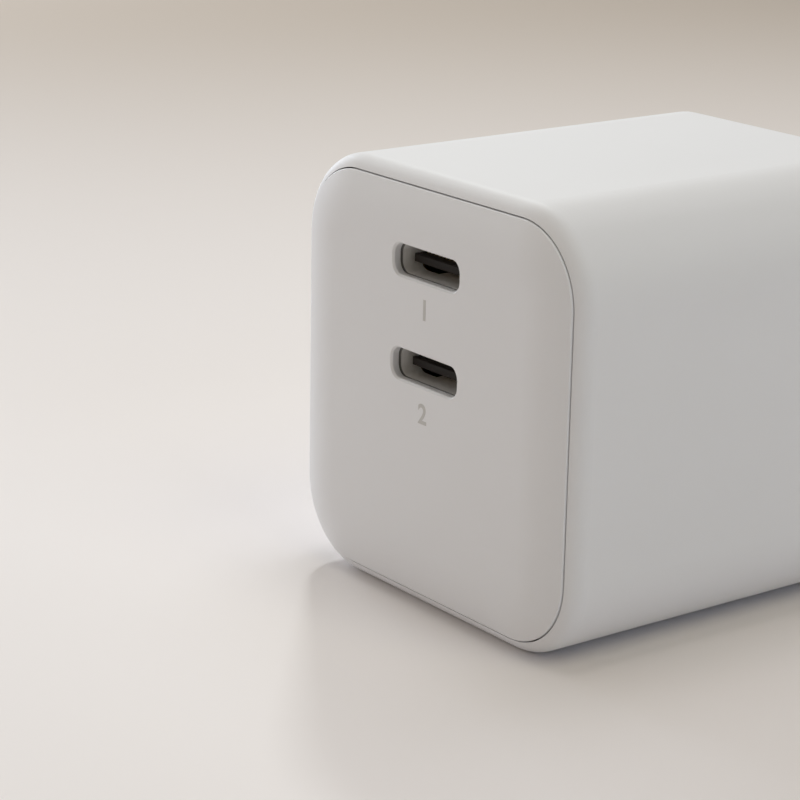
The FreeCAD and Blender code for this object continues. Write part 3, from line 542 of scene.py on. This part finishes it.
@dataclass(frozen=True)
class ShrunkSleeve(CoatedFinish):
    """Glossy film sleeve that was shrunk onto a can and creases along it.

    Attributes:
        stretch: How many times longer the creases are than wide.
    """

    cloud: float = 2.0 * MM
    darken: float = 0.08
    lighten: float = 0.08
    wander: float = 0.06
    grain: float = 0.6 * MM
    detail: float = 2.0
    depth: float = 0.006 * MM
    coat: float = 0.3
    coat_roughness: float = 0.2
    stretch: float = 8.0

    def paint(self, tree: ShaderTree) -> None:
        """Crease the film lightly along the can."""
        self.coated(tree)
        self.clouded(tree)
        creases = tree.noise(self.grain, self.detail, tree.mapped(scale=Axis.Z.stretched(self.stretch)))
        tree.relief(creases, self.depth)


@dataclass(frozen=True)
class DippedResin(CoatedFinish):
    """Resin that a part was dipped in, with the soft dimples of its flow."""

    cloud: float = 1.5 * MM
    darken: float = 0.1
    lighten: float = 0.1
    wander: float = 0.04
    grain: float = 0.9 * MM
    detail: float = 1.0
    depth: float = 0.02 * MM
    coat_roughness: float = 0.08

    def paint(self, tree: ShaderTree) -> None:
        """Cloud the resin and dimple its skin."""
        self.coated(tree)
        self.clouded(tree)
        self.grained(tree)


@dataclass(frozen=True)
class ClearFilm(Finish):
    """Amber insulation film, slightly see-through and faintly wavy.

    Attributes:
        clearness: How much light goes through, from 0 to 1.
        index: How strongly it bends light.
    """

    cloud: float = 6.0 * MM
    darken: float = 0.06
    lighten: float = 0.06
    grain: float = 4.0 * MM
    detail: float = 1.0
    depth: float = 0.05 * MM
    clearness: float = 0.35
    index: float = 1.5

    def paint(self, tree: ShaderTree) -> None:
        """Let some light through and ripple the sheet."""
        tree.constants(Transmission_Weight=self.clearness, IOR=self.index)
        self.clouded(tree)
        self.grained(tree)


@dataclass(frozen=True)
class PadPrint(Finish):
    """Thin matt ink that was pad-printed on plastic.

    Attributes:
        gloss: The specular level.
    """

    cloud: float = 0.2 * MM
    darken: float = 0.03
    lighten: float = 0.03
    wander: float = 0.04
    depth: float = 0.002 * MM
    gloss: float = 0.3

    def paint(self, tree: ShaderTree) -> None:
        """Break the ink up faintly, as on a grained surface."""
        tree.constants(Specular_IOR_Level=self.gloss)
        self.clouded(tree)
        self.grained(tree)


@dataclass(frozen=True)
class PaperSweep(Finish):
    """Pale studio paper whose colour is painted a darker beige away from the lamps, as painted shade where
    their light falls off.

    Attributes:
        gloss: The specular level.
        shade: The colour of the far paper, painted darker as shade.
        towards: The angle, from +X, along which the paper turns darker.
        start: How far along that way it begins to turn, in metres.
        end: How far along it has turned.
    """

    grain: float = 0.4 * MM
    gloss: float = 0.2
    shade: Colour = (0.446, 0.387, 0.332)
    towards: float = math.radians(161.0)
    start: float = 0.0
    end: float = 0.346

    def paint(self, tree: ShaderTree) -> None:
        """Run the colour from the near paper to the darker, painted shade of the far paper and add a fine
        tooth.
        """
        tree.constants(Specular_IOR_Level=self.gloss, Roughness=self.roughness)
        # Painted shade: the paper's colour darkens along one way, as the lamps' light falls off.
        along = tree.reading(Axis.X, tree.mapped(turn=(0.0, 0.0, -self.towards)))
        level = tree.spread(along, 0.0, 1.0, start=self.start, end=self.end)
        tree.link(tree.tint(level, self.colour, self.shade), "Base Color")
        self.grained(tree)


CASE_WHITE: Colour = (0.787, 0.79, 0.806)
HOUSING_PLASTIC = MouldedPlastic("housing_moulding", CASE_WHITE, 0.54, gloss=0.24)
COVER_PLASTIC = MouldedPlastic("cover_moulding", CASE_WHITE, 0.52, gloss=0.24)
NUMBER_INK = PadPrint("number_ink", (0.56, 0.55, 0.535), 0.6)
# The port steel carries painted shade at its front edge, for the gap to the cover's lip.
PORT_STEEL = CutSleeve("port_steel_drawn", (0.86, 0.85, 0.83), 0.5, along=Axis.Y, shine=0.3)
PORT_BLACK = MouldedPlastic("port_black_resin", (0.016, 0.0125, 0.01), 0.55, depth=0.002 * MM, gloss=0.12)
CONTACT_GOLD = WorkedMetal("contact_gold_plate", (0.83, 0.63, 0.30), 0.22, along=Axis.Y)
PIN_NICKEL = WorkedMetal("pin_nickel_plate", (0.70, 0.69, 0.67), 0.2, along=Axis.Z, depth=0.0008 * MM)
SLEEVE_BLACK = MouldedPlastic("sleeve_black_resin", (0.03, 0.03, 0.032), 0.45)
SPRING_BRASS = WorkedMetal("spring_brass_strip", (0.72, 0.55, 0.25), 0.3, along=Axis.Z)
BOARD_GREEN = MaskedLaminate("board_green_mask", (0.03, 0.16, 0.07), 0.35)
FERRITE_GREY = PressedFerrite("ferrite_grey", (0.085, 0.083, 0.082), 0.6)
BOBBIN_BLACK = MouldedPlastic("bobbin_black_resin", (0.035, 0.035, 0.036), 0.5)
WINDING_TAPE = WrappedTape("winding_yellow_tape", (0.76, 0.55, 0.09), 0.3)
COPPER_WIRE = EnamelledWire("copper_enamelled", (0.72, 0.37, 0.16), 0.28)
CAN_SLEEVE = ShrunkSleeve("can_dark_sleeve", (0.02, 0.022, 0.05), 0.3)
CAN_ALUMINIUM = WorkedMetal("can_drawn_aluminium", (0.80, 0.80, 0.81), 0.3, along=Axis.Z)
FILM_BOX = MouldedPlastic("film_box_yellow", (0.68, 0.56, 0.1), 0.45)
DISC_RESIN = DippedResin("disc_blue_resin", (0.05, 0.2, 0.52), 0.3)
FUSE_BLACK = MouldedPlastic("fuse_black_resin", (0.04, 0.04, 0.041), 0.4)
CHIP_BLACK = MouldedPlastic("chip_black_resin", (0.028, 0.028, 0.029), 0.55)
SPREADER_ALUMINIUM = WorkedMetal("spreader_rolled_sheet", (0.82, 0.82, 0.83), 0.35, along=Axis.Y)
INSULATION_FILM = ClearFilm("insulation_amber_film", (0.72, 0.5, 0.16), 0.25)
# The paper's far colour is painted shade for the lamps' fall-off.
STUDIO_PAPER = PaperSweep("studio_paper", (0.841, 0.803, 0.788), 0.6)


def evaluated(carrier: bpy.types.Object) -> bpy.types.Mesh:
    """The plain mesh that an object gives, with the object itself taken away.

    Args:
        carrier: An object that isn't in the scene yet, with any modifiers on it.

    Returns:
        The mesh after the modifiers.
    """
    bpy.context.scene.collection.objects.link(carrier)
    graph = bpy.context.evaluated_depsgraph_get()
    mesh = bpy.data.meshes.new_from_object(carrier.evaluated_get(graph))
    bpy.data.objects.remove(carrier)
    return mesh


class NodeTree:
    """A Geometry Nodes tree that is built step by step, with named inputs for its sizes."""

    def __init__(self, name: str) -> None:
        """Start a tree with an output for its geometry.

        Args:
            name: The tree's name.
        """
        self.tree = bpy.data.node_groups.new(name, "GeometryNodeTree")
        self.tree.interface.new_socket("Geometry", in_out="OUTPUT", socket_type="NodeSocketGeometry")
        self.inputs: dict[str, str] = {}
        self.values: dict[str, object] = {}
        self.entry = self.tree.nodes.new("NodeGroupInput")

    def size(self, name: str, amount: object, kind: str = "NodeSocketFloat") -> Socket:
        """Add a named input.

        Args:
            name: The input's name.
            amount: The value that the modifier gives it.
            kind: The type of its socket.

        Returns:
            The socket inside the tree that carries it.
        """
        socket = self.tree.interface.new_socket(name, in_out="INPUT", socket_type=kind)
        self.inputs[name] = socket.identifier
        self.values[name] = amount
        return next(out for out in self.entry.outputs if out.identifier == socket.identifier)

    def node(self, kind: str, settings: dict[str, object] | None = None, **links: object) -> bpy.types.Node:
        """Add a node, set it up and feed it.

        Args:
            kind: Blender's type of node.
            settings: The node's own settings.
            links: Socket names with underscores for spaces, each with a socket, a list of sockets or a value.

        Returns:
            The node.
        """
        node = self.tree.nodes.new(kind)
        for name, choice in (settings or {}).items():
            setattr(node, name, choice)
        for name, source in links.items():
            target = node.inputs[name.replace("_", " ")]
            for one in source if isinstance(source, list) else [source]:
                self.feed(target, one)
        return node

    def feed(self, target: Socket, source: object) -> None:
        """Link a socket to another, or set it to a plain value."""
        if isinstance(source, Socket):
            self.tree.links.new(source, target)
        else:
            target.default_value = source

    def sum(self, operation: str, first: object, second: object) -> Socket:
        """The result of one sum on two sockets or values."""
        node = self.tree.nodes.new("ShaderNodeMath")
        node.operation = operation
        self.feed(node.inputs[0], first)
        self.feed(node.inputs[1], second)
        return node.outputs["Value"]

    def vector(self, x: object = 0.0, y: object = 0.0, z: object = 0.0) -> Socket:
        """A vector from three sockets or values."""
        node = self.tree.nodes.new("ShaderNodeCombineXYZ")
        for target, source in zip(node.inputs, (x, y, z)):
            self.feed(target, source)
        return node.outputs["Vector"]

    def finish(self, shape: Socket, material: bpy.types.Material, smooth: bool) -> None:
        """End the tree with whole meshes in one material.

        Args:
            shape: The geometry to hand out.
            material: The material that it gets.
            smooth: Whether its faces are shaded as one curved surface.
        """
        finish = self.size("Finish", material, "NodeSocketMaterial")
        whole = self.node("GeometryNodeRealizeInstances", Geometry=shape)
        shaded = self.node("GeometryNodeSetShadeSmooth", Geometry=whole.outputs["Geometry"],
                           Shade_Smooth=smooth)
        painted = self.node("GeometryNodeSetMaterial", Geometry=shaded.outputs["Geometry"], Material=finish)
        leave = self.tree.nodes.new("NodeGroupOutput")
        self.tree.links.new(painted.outputs["Geometry"], leave.inputs["Geometry"])

    def made(self, name: str, place: Matrix) -> bpy.types.Object:
        """Run the tree once and keep its result as a plain mesh.

        Args:
            name: The new piece's name.
            place: Where the tree's own frame lies in the object's frame.

        Returns:
            The piece, at the origin, with its place in its mesh.
        """
        carrier = bpy.data.objects.new(name, bpy.data.meshes.new(f"{name}_carrier"))
        bpy.context.scene.collection.objects.link(carrier)
        modifier = carrier.modifiers.new("Repeat", "NODES")
        modifier.node_group = self.tree
        for label, identifier in self.inputs.items():
            modifier[identifier] = self.values[label]
        graph = bpy.context.evaluated_depsgraph_get()
        mesh = bpy.data.meshes.new_from_object(carrier.evaluated_get(graph))
        carrier.modifiers.remove(modifier)
        mesh.transform(place)
        carrier.data = mesh
        mesh.name = name
        return carrier


@dataclass
class Assembly(ABC):
    """A sub-assembly of the adapter.

    Attributes:
        nodes: The construction pieces by name.
    """

    nodes: dict[str, bpy.types.Object]

    @abstractmethod
    def build(self) -> None:
        """Dress the assembly's construction pieces and add its detailed ones."""

    def dress(self, name: str, finish: Finish) -> None:
        """Give a construction piece its finish.

        Args:
            name: The piece's name.
            finish: The finish that it gets.
        """
        for slot in self.nodes[name].material_slots:
            slot.material = finish.material()
        LOG.info("dressed %s in %s", name, finish.name)


@dataclass
class Casing(Assembly):
    """The moulded housing and its front cover, with a plain number under each port.

    Attributes:
        number_height: The height of a number.
        number_drop: From the middle of a port down to the middle of its number.
        number_weight: How far the strokes are thickened, as a share of the text's size.
        curve_steps: How many straight steps draw each curve of a number.
        weld_distance: How close the points of a number lie that become one, as a share of the text's size.
        ink_thickness: How far the ink stands off the cover, and how deep it soaks in.
    """

    number_height: float = 1.75 * MM
    number_drop: float = 3.6 * MM
    number_weight: float = 0.02
    curve_steps: int = 8
    weld_distance: float = 0.0005
    ink_thickness: float = 0.012 * MM

    def build(self) -> None:
        """Dress both mouldings and print the numbers."""
        self.dress("housing", HOUSING_PLASTIC)
        self.dress("front_cover", COVER_PLASTIC)
        for port in Port:
            self.print_number(port)

    def print_number(self, port: Port) -> bpy.types.Object:
        """Print a port's number on the cover.

        Args:
            port: The port that the number belongs to.

        Returns:
            The number's object.
        """
        low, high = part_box(f"usb_c_shell_{port.place}")
        middle = (low + high) / 2.0
        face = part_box("front_cover")[0].y
        mesh = self.raised(self.drawn(port.value))
        mesh.transform(self.stood(mesh, Vector((middle.x, face, middle.z - self.number_drop))))
        mesh.shade_flat()
        number = bpy.data.objects.new(f"port_number_{port.place}", mesh)
        bpy.context.scene.collection.objects.link(number)
        mesh.materials.append(NUMBER_INK.material())
        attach(number, BODY)
        LOG.info("printed %s", number.name)
        return number

    def drawn(self, figure: str) -> bpy.types.Mesh:
        """Draw a figure as a flat mesh, at a text size of one unit.

        Args:
            figure: The figure to draw.

        Returns:
            The flat mesh.
        """
        text = bpy.data.curves.new("number_text", "FONT")
        text.body = figure
        text.size = 1.0
        text.offset = self.number_weight
        text.resolution_u = self.curve_steps
        return evaluated(bpy.data.objects.new("number_drawn", text))

    def raised(self, flat: bpy.types.Mesh) -> bpy.types.Mesh:
        """Turn a flat figure into a closed plate from one unit below to one unit above its plane.

        Args:
            flat: The flat figure.

        Returns:
            The closed plate.
        """
        carrier = bpy.data.objects.new("number_plate", flat)
        weld = carrier.modifiers.new("Weld", "WELD")
        weld.merge_threshold = self.weld_distance
        wall = carrier.modifiers.new("Wall", "SOLIDIFY")
        wall.thickness = 2.0
        wall.offset = 0.0
        return evaluated(carrier)

    def stood(self, mesh: bpy.types.Mesh, place: Vector) -> Matrix:
        """The way to size a raised figure, stand it up and centre it on a place.

        Args:
            mesh: The raised figure.
            place: The middle of the printed number.

        Returns:
            The transform for the mesh.
        """
        points = [vertex.co for vertex in mesh.vertices]
        width = (min(point.x for point in points), max(point.x for point in points))
        height = (min(point.y for point in points), max(point.y for point in points))
        middle = Vector((sum(width) / 2.0, sum(height) / 2.0, 0.0))
        scale = self.number_height / (height[1] - height[0])
        size = Matrix.Diagonal((scale, scale, self.ink_thickness, 1.0))
        upright = Matrix.Rotation(QUARTER_TURN, 4, "X")
        return Matrix.Translation(place) @ upright @ size @ Matrix.Translation(-middle)


@dataclass
class Receptacles(Assembly):
    """The two ports: drawn steel shells, black tongues and rows of plated contacts.

    Attributes:
        contacts: How many contacts lie on each face of a tongue.
        pitch: From contact to contact.
        width: A contact across.
        thickness: How far a contact stands off the tongue.
        tip_radius: The rounding of a contact's corners.
        tip_steps: How many points round each corner.
        merge_distance: How close the points of a contact's faces lie that become one.
    """

    contacts: int = 12
    pitch: float = 0.5 * MM
    width: float = 0.25 * MM
    thickness: float = 0.05 * MM
    tip_radius: float = 0.1 * MM
    tip_steps: int = 4
    merge_distance: float = 0.0001 * MM

    def build(self) -> None:
        """Dress the shells and tongues and lay the contacts."""
        for port in Port:
            shell = f"usb_c_shell_{port.place}"
            # The painted shade on the steel begins at the shell's front edge.
            self.dress(shell, replace(PORT_STEEL, cut=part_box(shell)[0].y))
            self.dress(f"usb_c_tongue_{port.place}", PORT_BLACK)
            self.lay_contacts(port)

    def lay_contacts(self, port: Port) -> bpy.types.Object:
        """Lay both rows of contacts on a tongue.

        Args:
            port: The port that the tongue belongs to.

        Returns:
            The contacts as one piece.
        """
        node = f"usb_c_contacts_{port.place}"
        low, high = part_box(node)
        tree = NodeTree(f"contact_rows_{port.place}")
        strip = self.contact_strip(tree, high.y - low.y)
        tongue = tree.size("Tongue thickness", high.z - low.z - 2.0 * self.thickness)
        count = tree.size("Count", self.contacts, "NodeSocketInt")
        pitch = tree.size("Pitch", self.pitch)
        gaps = tree.sum("SUBTRACT", count, 1.0)
        first = tree.sum("MULTIPLY", gaps, tree.sum("MULTIPLY", pitch, -0.5))
        line = tree.node("GeometryNodeMeshLine", Count=count, Start_Location=tree.vector(x=first),
                         Offset=tree.vector(x=pitch))
        row = tree.node("GeometryNodeInstanceOnPoints", Points=line.outputs["Mesh"], Instance=strip)
        lift = tree.sum("MULTIPLY", tongue, 0.5)
        upper = tree.node("GeometryNodeTransform", Geometry=row.outputs["Instances"],
                          Translation=tree.vector(z=lift))
        lower = tree.node("GeometryNodeTransform", Geometry=upper.outputs["Geometry"],
                          Rotation=(0.0, math.pi, 0.0))
        rows = tree.node("GeometryNodeJoinGeometry",
                         Geometry=[upper.outputs["Geometry"], lower.outputs["Geometry"]])
        tree.finish(rows.outputs["Geometry"], CONTACT_GOLD.material(), smooth=False)
        contacts = tree.made(f"contact_rows_{port.place}", Matrix.Translation((low + high) / 2.0))
        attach(contacts, BODY)
        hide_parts(node)
        LOG.info("laid %s", contacts.name)
        return contacts

    def contact_strip(self, tree: NodeTree, reach: float) -> Socket:
        """Shape one contact as a closed strip with rounded tips, its underside in the plane of the origin.

        Args:
            tree: The tree that repeats it.
            reach: The length of the contact.

        Returns:
            The strip's geometry.
        """
        width = tree.size("Width", self.width)
        length = tree.size("Length", reach)
        thickness = tree.size("Thickness", self.thickness)
        tip = tree.size("Tip radius", self.tip_radius)
        outline = tree.node("GeometryNodeCurvePrimitiveQuadrilateral", Width=width, Height=length)
        rounded = tree.node("GeometryNodeFilletCurve", {"mode": "POLY"}, Curve=outline.outputs["Curve"],
                            Count=self.tip_steps, Radius=tip, Limit_Radius=True)
        face = tree.node("GeometryNodeFillCurve", {"mode": "NGONS"}, Curve=rounded.outputs["Curve"])
        raised = tree.node("GeometryNodeExtrudeMesh", {"mode": "FACES"}, Mesh=face.outputs["Mesh"],
                           Offset_Scale=thickness, Individual=False)
        below = tree.node("GeometryNodeFlipFaces", Mesh=face.outputs["Mesh"])
        faces = tree.node("GeometryNodeJoinGeometry",
                          Geometry=[raised.outputs["Mesh"], below.outputs["Mesh"]])
        closed = tree.node("GeometryNodeMergeByDistance", Geometry=faces.outputs["Geometry"],
                           Distance=self.merge_distance)
        return closed.outputs["Geometry"]


@dataclass
class MainsPlug(Assembly):
    """The two mains pins with their sleeves and the springs that lead inside."""

    def build(self) -> None:
        """Dress the pins, sleeves and springs."""
        for side in Side:
            self.dress(f"plug_pin_{side.place}", PIN_NICKEL)
            self.dress(f"pin_sleeve_{side.place}", SLEEVE_BLACK)
            self.dress(f"pin_spring_{side.place}", SPRING_BRASS)


@dataclass
class PowerStage(Assembly):
    """The boards and what they carry, with the sheets that wrap them inside the housing.

    Attributes:
        wire_radius: The wire of the choke.
        wire_sides: How many flats go round the wire.
        bend_steps: How many points round each corner of a turn.
        turns: How many turns lie on each half of the choke.
        bore: The radius of the hole in the choke's ring core.
        clearance: From the core to the wire.
        arc: The angle that each winding covers.
    """

    wire_radius: float = 0.45 * MM
    wire_sides: int = 8
    bend_steps: int = 4
    turns: int = 9
    bore: float = 2.6 * MM
    clearance: float = 0.1 * MM
    arc: float = math.radians(118.0)

    def build(self) -> None:
        """Dress the carried pieces and wind the choke."""
        finishes = {
            BOARD_GREEN: ("main_board", "port_board"),
            FERRITE_GREY: ("transformer_core_lower", "transformer_core_upper", "choke_core"),
            BOBBIN_BLACK: ("transformer_bobbin",),
            WINDING_TAPE: ("transformer_winding",),
            CAN_SLEEVE: ("bulk_capacitor_front", "bulk_capacitor_rear"),
            CAN_ALUMINIUM: ("output_capacitor_front", "output_capacitor_rear"),
            FILM_BOX: ("x_capacitor",),
            DISC_RESIN: ("y_capacitor",),
            FUSE_BLACK: ("fuse",),
            CHIP_BLACK: ("bridge_rectifier", "switch_chip", "rectifier_chip", "optocoupler", "protocol_chip"),
            SPREADER_ALUMINIUM: ("heat_spreader",),
            INSULATION_FILM: ("insulation_sheet",),
        }
        for finish, names in finishes.items():
            for name in names:
                self.dress(name, finish)
        for side in Side:
            self.wind_choke(side)

    def wind_choke(self, side: Side) -> bpy.types.Object:
        """Wind one half of the ring core with separate turns of wire.

        Args:
            side: The half to wind.

        Returns:
            The turns as one piece.
        """
        low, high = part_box("choke_core")
        radius = (high.x - low.x) / 2.0
        off = self.clearance + self.wire_radius
        tree = NodeTree(f"choke_turns_{side.place}")
        turns = tree.size("Turns", self.turns, "NodeSocketInt")
        wire = tree.size("Wire radius", self.wire_radius)
        middle = tree.size("Ring radius", (radius + self.bore) / 2.0)
        across = tree.size("Turn across", radius - self.bore + 2.0 * off)
        along = tree.size("Turn along", high.y - low.y + 2.0 * off)
        bend = tree.size("Turn corner", 2.0 * self.wire_radius)
        arc = tree.size("Arc", self.arc)
        first = tree.sum("MULTIPLY", arc, -0.5)
        path = tree.node("GeometryNodeCurveArc", Resolution=turns, Radius=middle, Start_Angle=first,
                         Sweep_Angle=arc)
        points = tree.node("GeometryNodeCurveToPoints", {"mode": "EVALUATED"}, Curve=path.outputs["Curve"])
        outline = tree.node("GeometryNodeCurvePrimitiveQuadrilateral", Width=across, Height=along)
        loop = tree.node("GeometryNodeFilletCurve", {"mode": "POLY"}, Curve=outline.outputs["Curve"],
                         Count=self.bend_steps, Radius=bend, Limit_Radius=True)
        section = tree.node("GeometryNodeCurvePrimitiveCircle", Resolution=self.wire_sides, Radius=wire)
        turn = tree.node("GeometryNodeCurveToMesh", Curve=loop.outputs["Curve"],
                         Profile_Curve=section.outputs["Curve"])
        wound = tree.node("GeometryNodeInstanceOnPoints", Points=points.outputs["Points"],
                          Instance=turn.outputs["Mesh"], Rotation=points.outputs["Rotation"])
        tree.finish(wound.outputs["Instances"], COPPER_WIRE.material(), smooth=True)
        upright = Matrix.Rotation(QUARTER_TURN, 4, "X") @ Matrix.Rotation(side.value, 4, "Z")
        winding = tree.made(f"choke_turns_{side.place}", Matrix.Translation((low + high) / 2.0) @ upright)
        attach(winding, BODY)
        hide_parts(f"choke_winding_{side.place}")
        LOG.info("wound %s", winding.name)
        return winding


def direction(azimuth: float, elevation: float) -> Vector:
    """The way from the object to a place round it.

    Args:
        azimuth: Degrees round from the front, towards the right.
        elevation: Degrees up from the floor.

    Returns:
        A vector of length one.
    """
    turn, rise = math.radians(azimuth), math.radians(elevation)
    return Vector((math.sin(turn) * math.cos(rise), -math.cos(turn) * math.cos(rise), math.sin(rise)))


@dataclass(frozen=True)
class SoftBox:
    """A soft area lamp that points at the object.

    Attributes:
        name: The lamp's name.
        azimuth: Degrees round from the front, towards the right.
        elevation: Degrees up from the floor.
        power: The lamp's power in watts.
        colour: The colour of its light.
        side: The length of the lamp's sides in metres.
        distance: From the object in metres.
    """

    name: str
    azimuth: float
    elevation: float
    power: float
    colour: Colour
    side: float = 0.28
    distance: float = 0.6

    def hang(self, target: Vector) -> bpy.types.Object:
        """Place the lamp.

        Args:
            target: The point that it faces.

        Returns:
            The lamp's object.
        """
        lamp = bpy.data.lights.new(self.name, "AREA")
        lamp.size = self.side
        lamp.energy = self.power
        lamp.color = self.colour
        hung = bpy.data.objects.new(self.name, lamp)
        bpy.context.scene.collection.objects.link(hung)
        away = direction(self.azimuth, self.elevation)
        hung.location = target + away * self.distance
        hung.rotation_euler = away.to_track_quat("Z", "Y").to_euler()
        LOG.info("hung %s", self.name)
        return hung


@dataclass
class Studio:
    """Pale paper under the adapter, an even world and soft lamps.

    Attributes:
        aim: The height of the point that the lamps face.
        reach: The paper's radius in metres.
        gap: How far the paper lies under the object.
        segments: The number of sides of the paper's outline.
        ambient: The colour of the light from all round.
        lamps: The soft lamps.
    """

    aim: float = 20.0 * MM
    reach: float = 3.0
    gap: float = 0.02 * MM
    segments: int = 96
    ambient: Colour = (0.221, 0.2, 0.167)
    lamps: tuple[SoftBox, ...] = (
        SoftBox("key_lamp", 237.0, 38.0, 0.795, (0.962, 1.0, 0.994), side=0.055),
        SoftBox("top_panel", 0.0, 89.9, 0.584, (1.0, 0.959, 0.925)),
        SoftBox("back_panel", 210.0, 65.0, 0.63, (0.857, 0.897, 1.0)),
        SoftBox("left_panel", 270.0, 14.0, 1.656, (0.832, 0.905, 1.0)),
        SoftBox("left_front_panel", 300.0, 8.0, 0.694, (0.878, 0.948, 1.0)),
        SoftBox("front_panel", 330.0, 15.0, 0.246, (1.0, 0.809, 0.724)),
        SoftBox("right_panel", 95.0, 20.0, 0.5, (0.624, 0.77, 1.0)),
        SoftBox("right_top_panel", 95.0, 55.0, 0.572, (1.0, 0.951, 0.743)),
    )

    def build(self) -> None:
        """Lay the paper, set the world and hang the lamps."""
        self.lay_paper()
        self.set_world()
        for lamp in self.lamps:
            lamp.hang(Vector((0.0, 0.0, self.aim)))

    def lay_paper(self) -> bpy.types.Object:
        """Lay the paper as a stage.

        Returns:
            The paper's object.
        """
        steps = [2.0 * math.pi * step / self.segments for step in range(self.segments)]
        rim = [(self.reach * math.cos(turn), self.reach * math.sin(turn), -self.gap) for turn in steps]
        mesh = bpy.data.meshes.new("studio_paper")
        mesh.from_pydata(rim, [], [tuple(range(self.segments))])
        mesh.materials.append(STUDIO_PAPER.material())
        paper = bpy.data.objects.new("studio_paper", mesh)
        bpy.context.scene.collection.objects.link(paper)
        LOG.info("laid %s", paper.name)
        return paper

    def set_world(self) -> None:
        """Fill the world with even light, and show colours as they are written."""
        world = bpy.data.worlds.new("studio_world")
        world.use_nodes = True
        background = world.node_tree.nodes["Background"]
        background.inputs["Color"].default_value = (*self.ambient, 1.0)
        background.inputs["Strength"].default_value = 1.0
        bpy.context.scene.world = world
        bpy.context.scene.view_settings.view_transform = "Standard"


@dataclass
class PhotoCamera:
    """The camera at the photograph's viewing angle.

    Attributes:
        front: Where the housing's front lies along Y, which is how far forward the camera looks.
        across: How far to the right of the middle it looks.
        height: How far above the floor it looks.
        azimuth: Degrees round from the front, towards the right.
        elevation: Degrees up from the floor.
        roll: Degrees that the camera leans.
        distance: From the point that it looks at, in metres.
        lens: The focal length in millimetres.
        sensor: The width of the sensor in millimetres.
        nearest: Where its view begins, in metres.
        farthest: Where its view ends.
    """

    front: float
    across: float = -4.413 * MM
    height: float = 17.407 * MM
    azimuth: float = 53.09
    elevation: float = 16.67
    roll: float = 1.078
    distance: float = 220.15 * MM
    lens: float = 118.28
    sensor: float = 36.0
    nearest: float = 1.0 * MM
    farthest: float = 20.0

    def build(self) -> bpy.types.Object:
        """Set up the camera and make it the scene's.

        Returns:
            The camera's object.
        """
        data = bpy.data.cameras.new("photo_camera")
        data.lens = self.lens
        data.sensor_width = self.sensor
        data.clip_start = self.nearest
        data.clip_end = self.farthest
        camera = bpy.data.objects.new("photo_camera", data)
        bpy.context.scene.collection.objects.link(camera)
        back = direction(self.azimuth, self.elevation)
        level = Vector((0.0, 0.0, 1.0)).cross(back).normalized()
        right = Matrix.Rotation(math.radians(self.roll), 3, back) @ level
        axes = Matrix((right, back.cross(right), back)).transposed()
        stand = Vector((self.across, self.front, self.height)) + back * self.distance
        camera.matrix_world = Matrix.Translation(stand) @ axes.to_4x4()
        bpy.context.scene.camera = camera
        LOG.info("set up %s", camera.name)
        return camera


def main() -> None:
    """Build the adapter's looks, the studio and the camera."""
    logging.basicConfig(level=logging.INFO, format="%(message)s")
    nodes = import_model()["nodes"]
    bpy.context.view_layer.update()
    for assembly in (Casing(nodes), Receptacles(nodes), MainsPlug(nodes), PowerStage(nodes)):
        assembly.build()
    Studio().build()
    PhotoCamera(front=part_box("housing")[0].y).build()


if __name__ == "__main__":
    main()
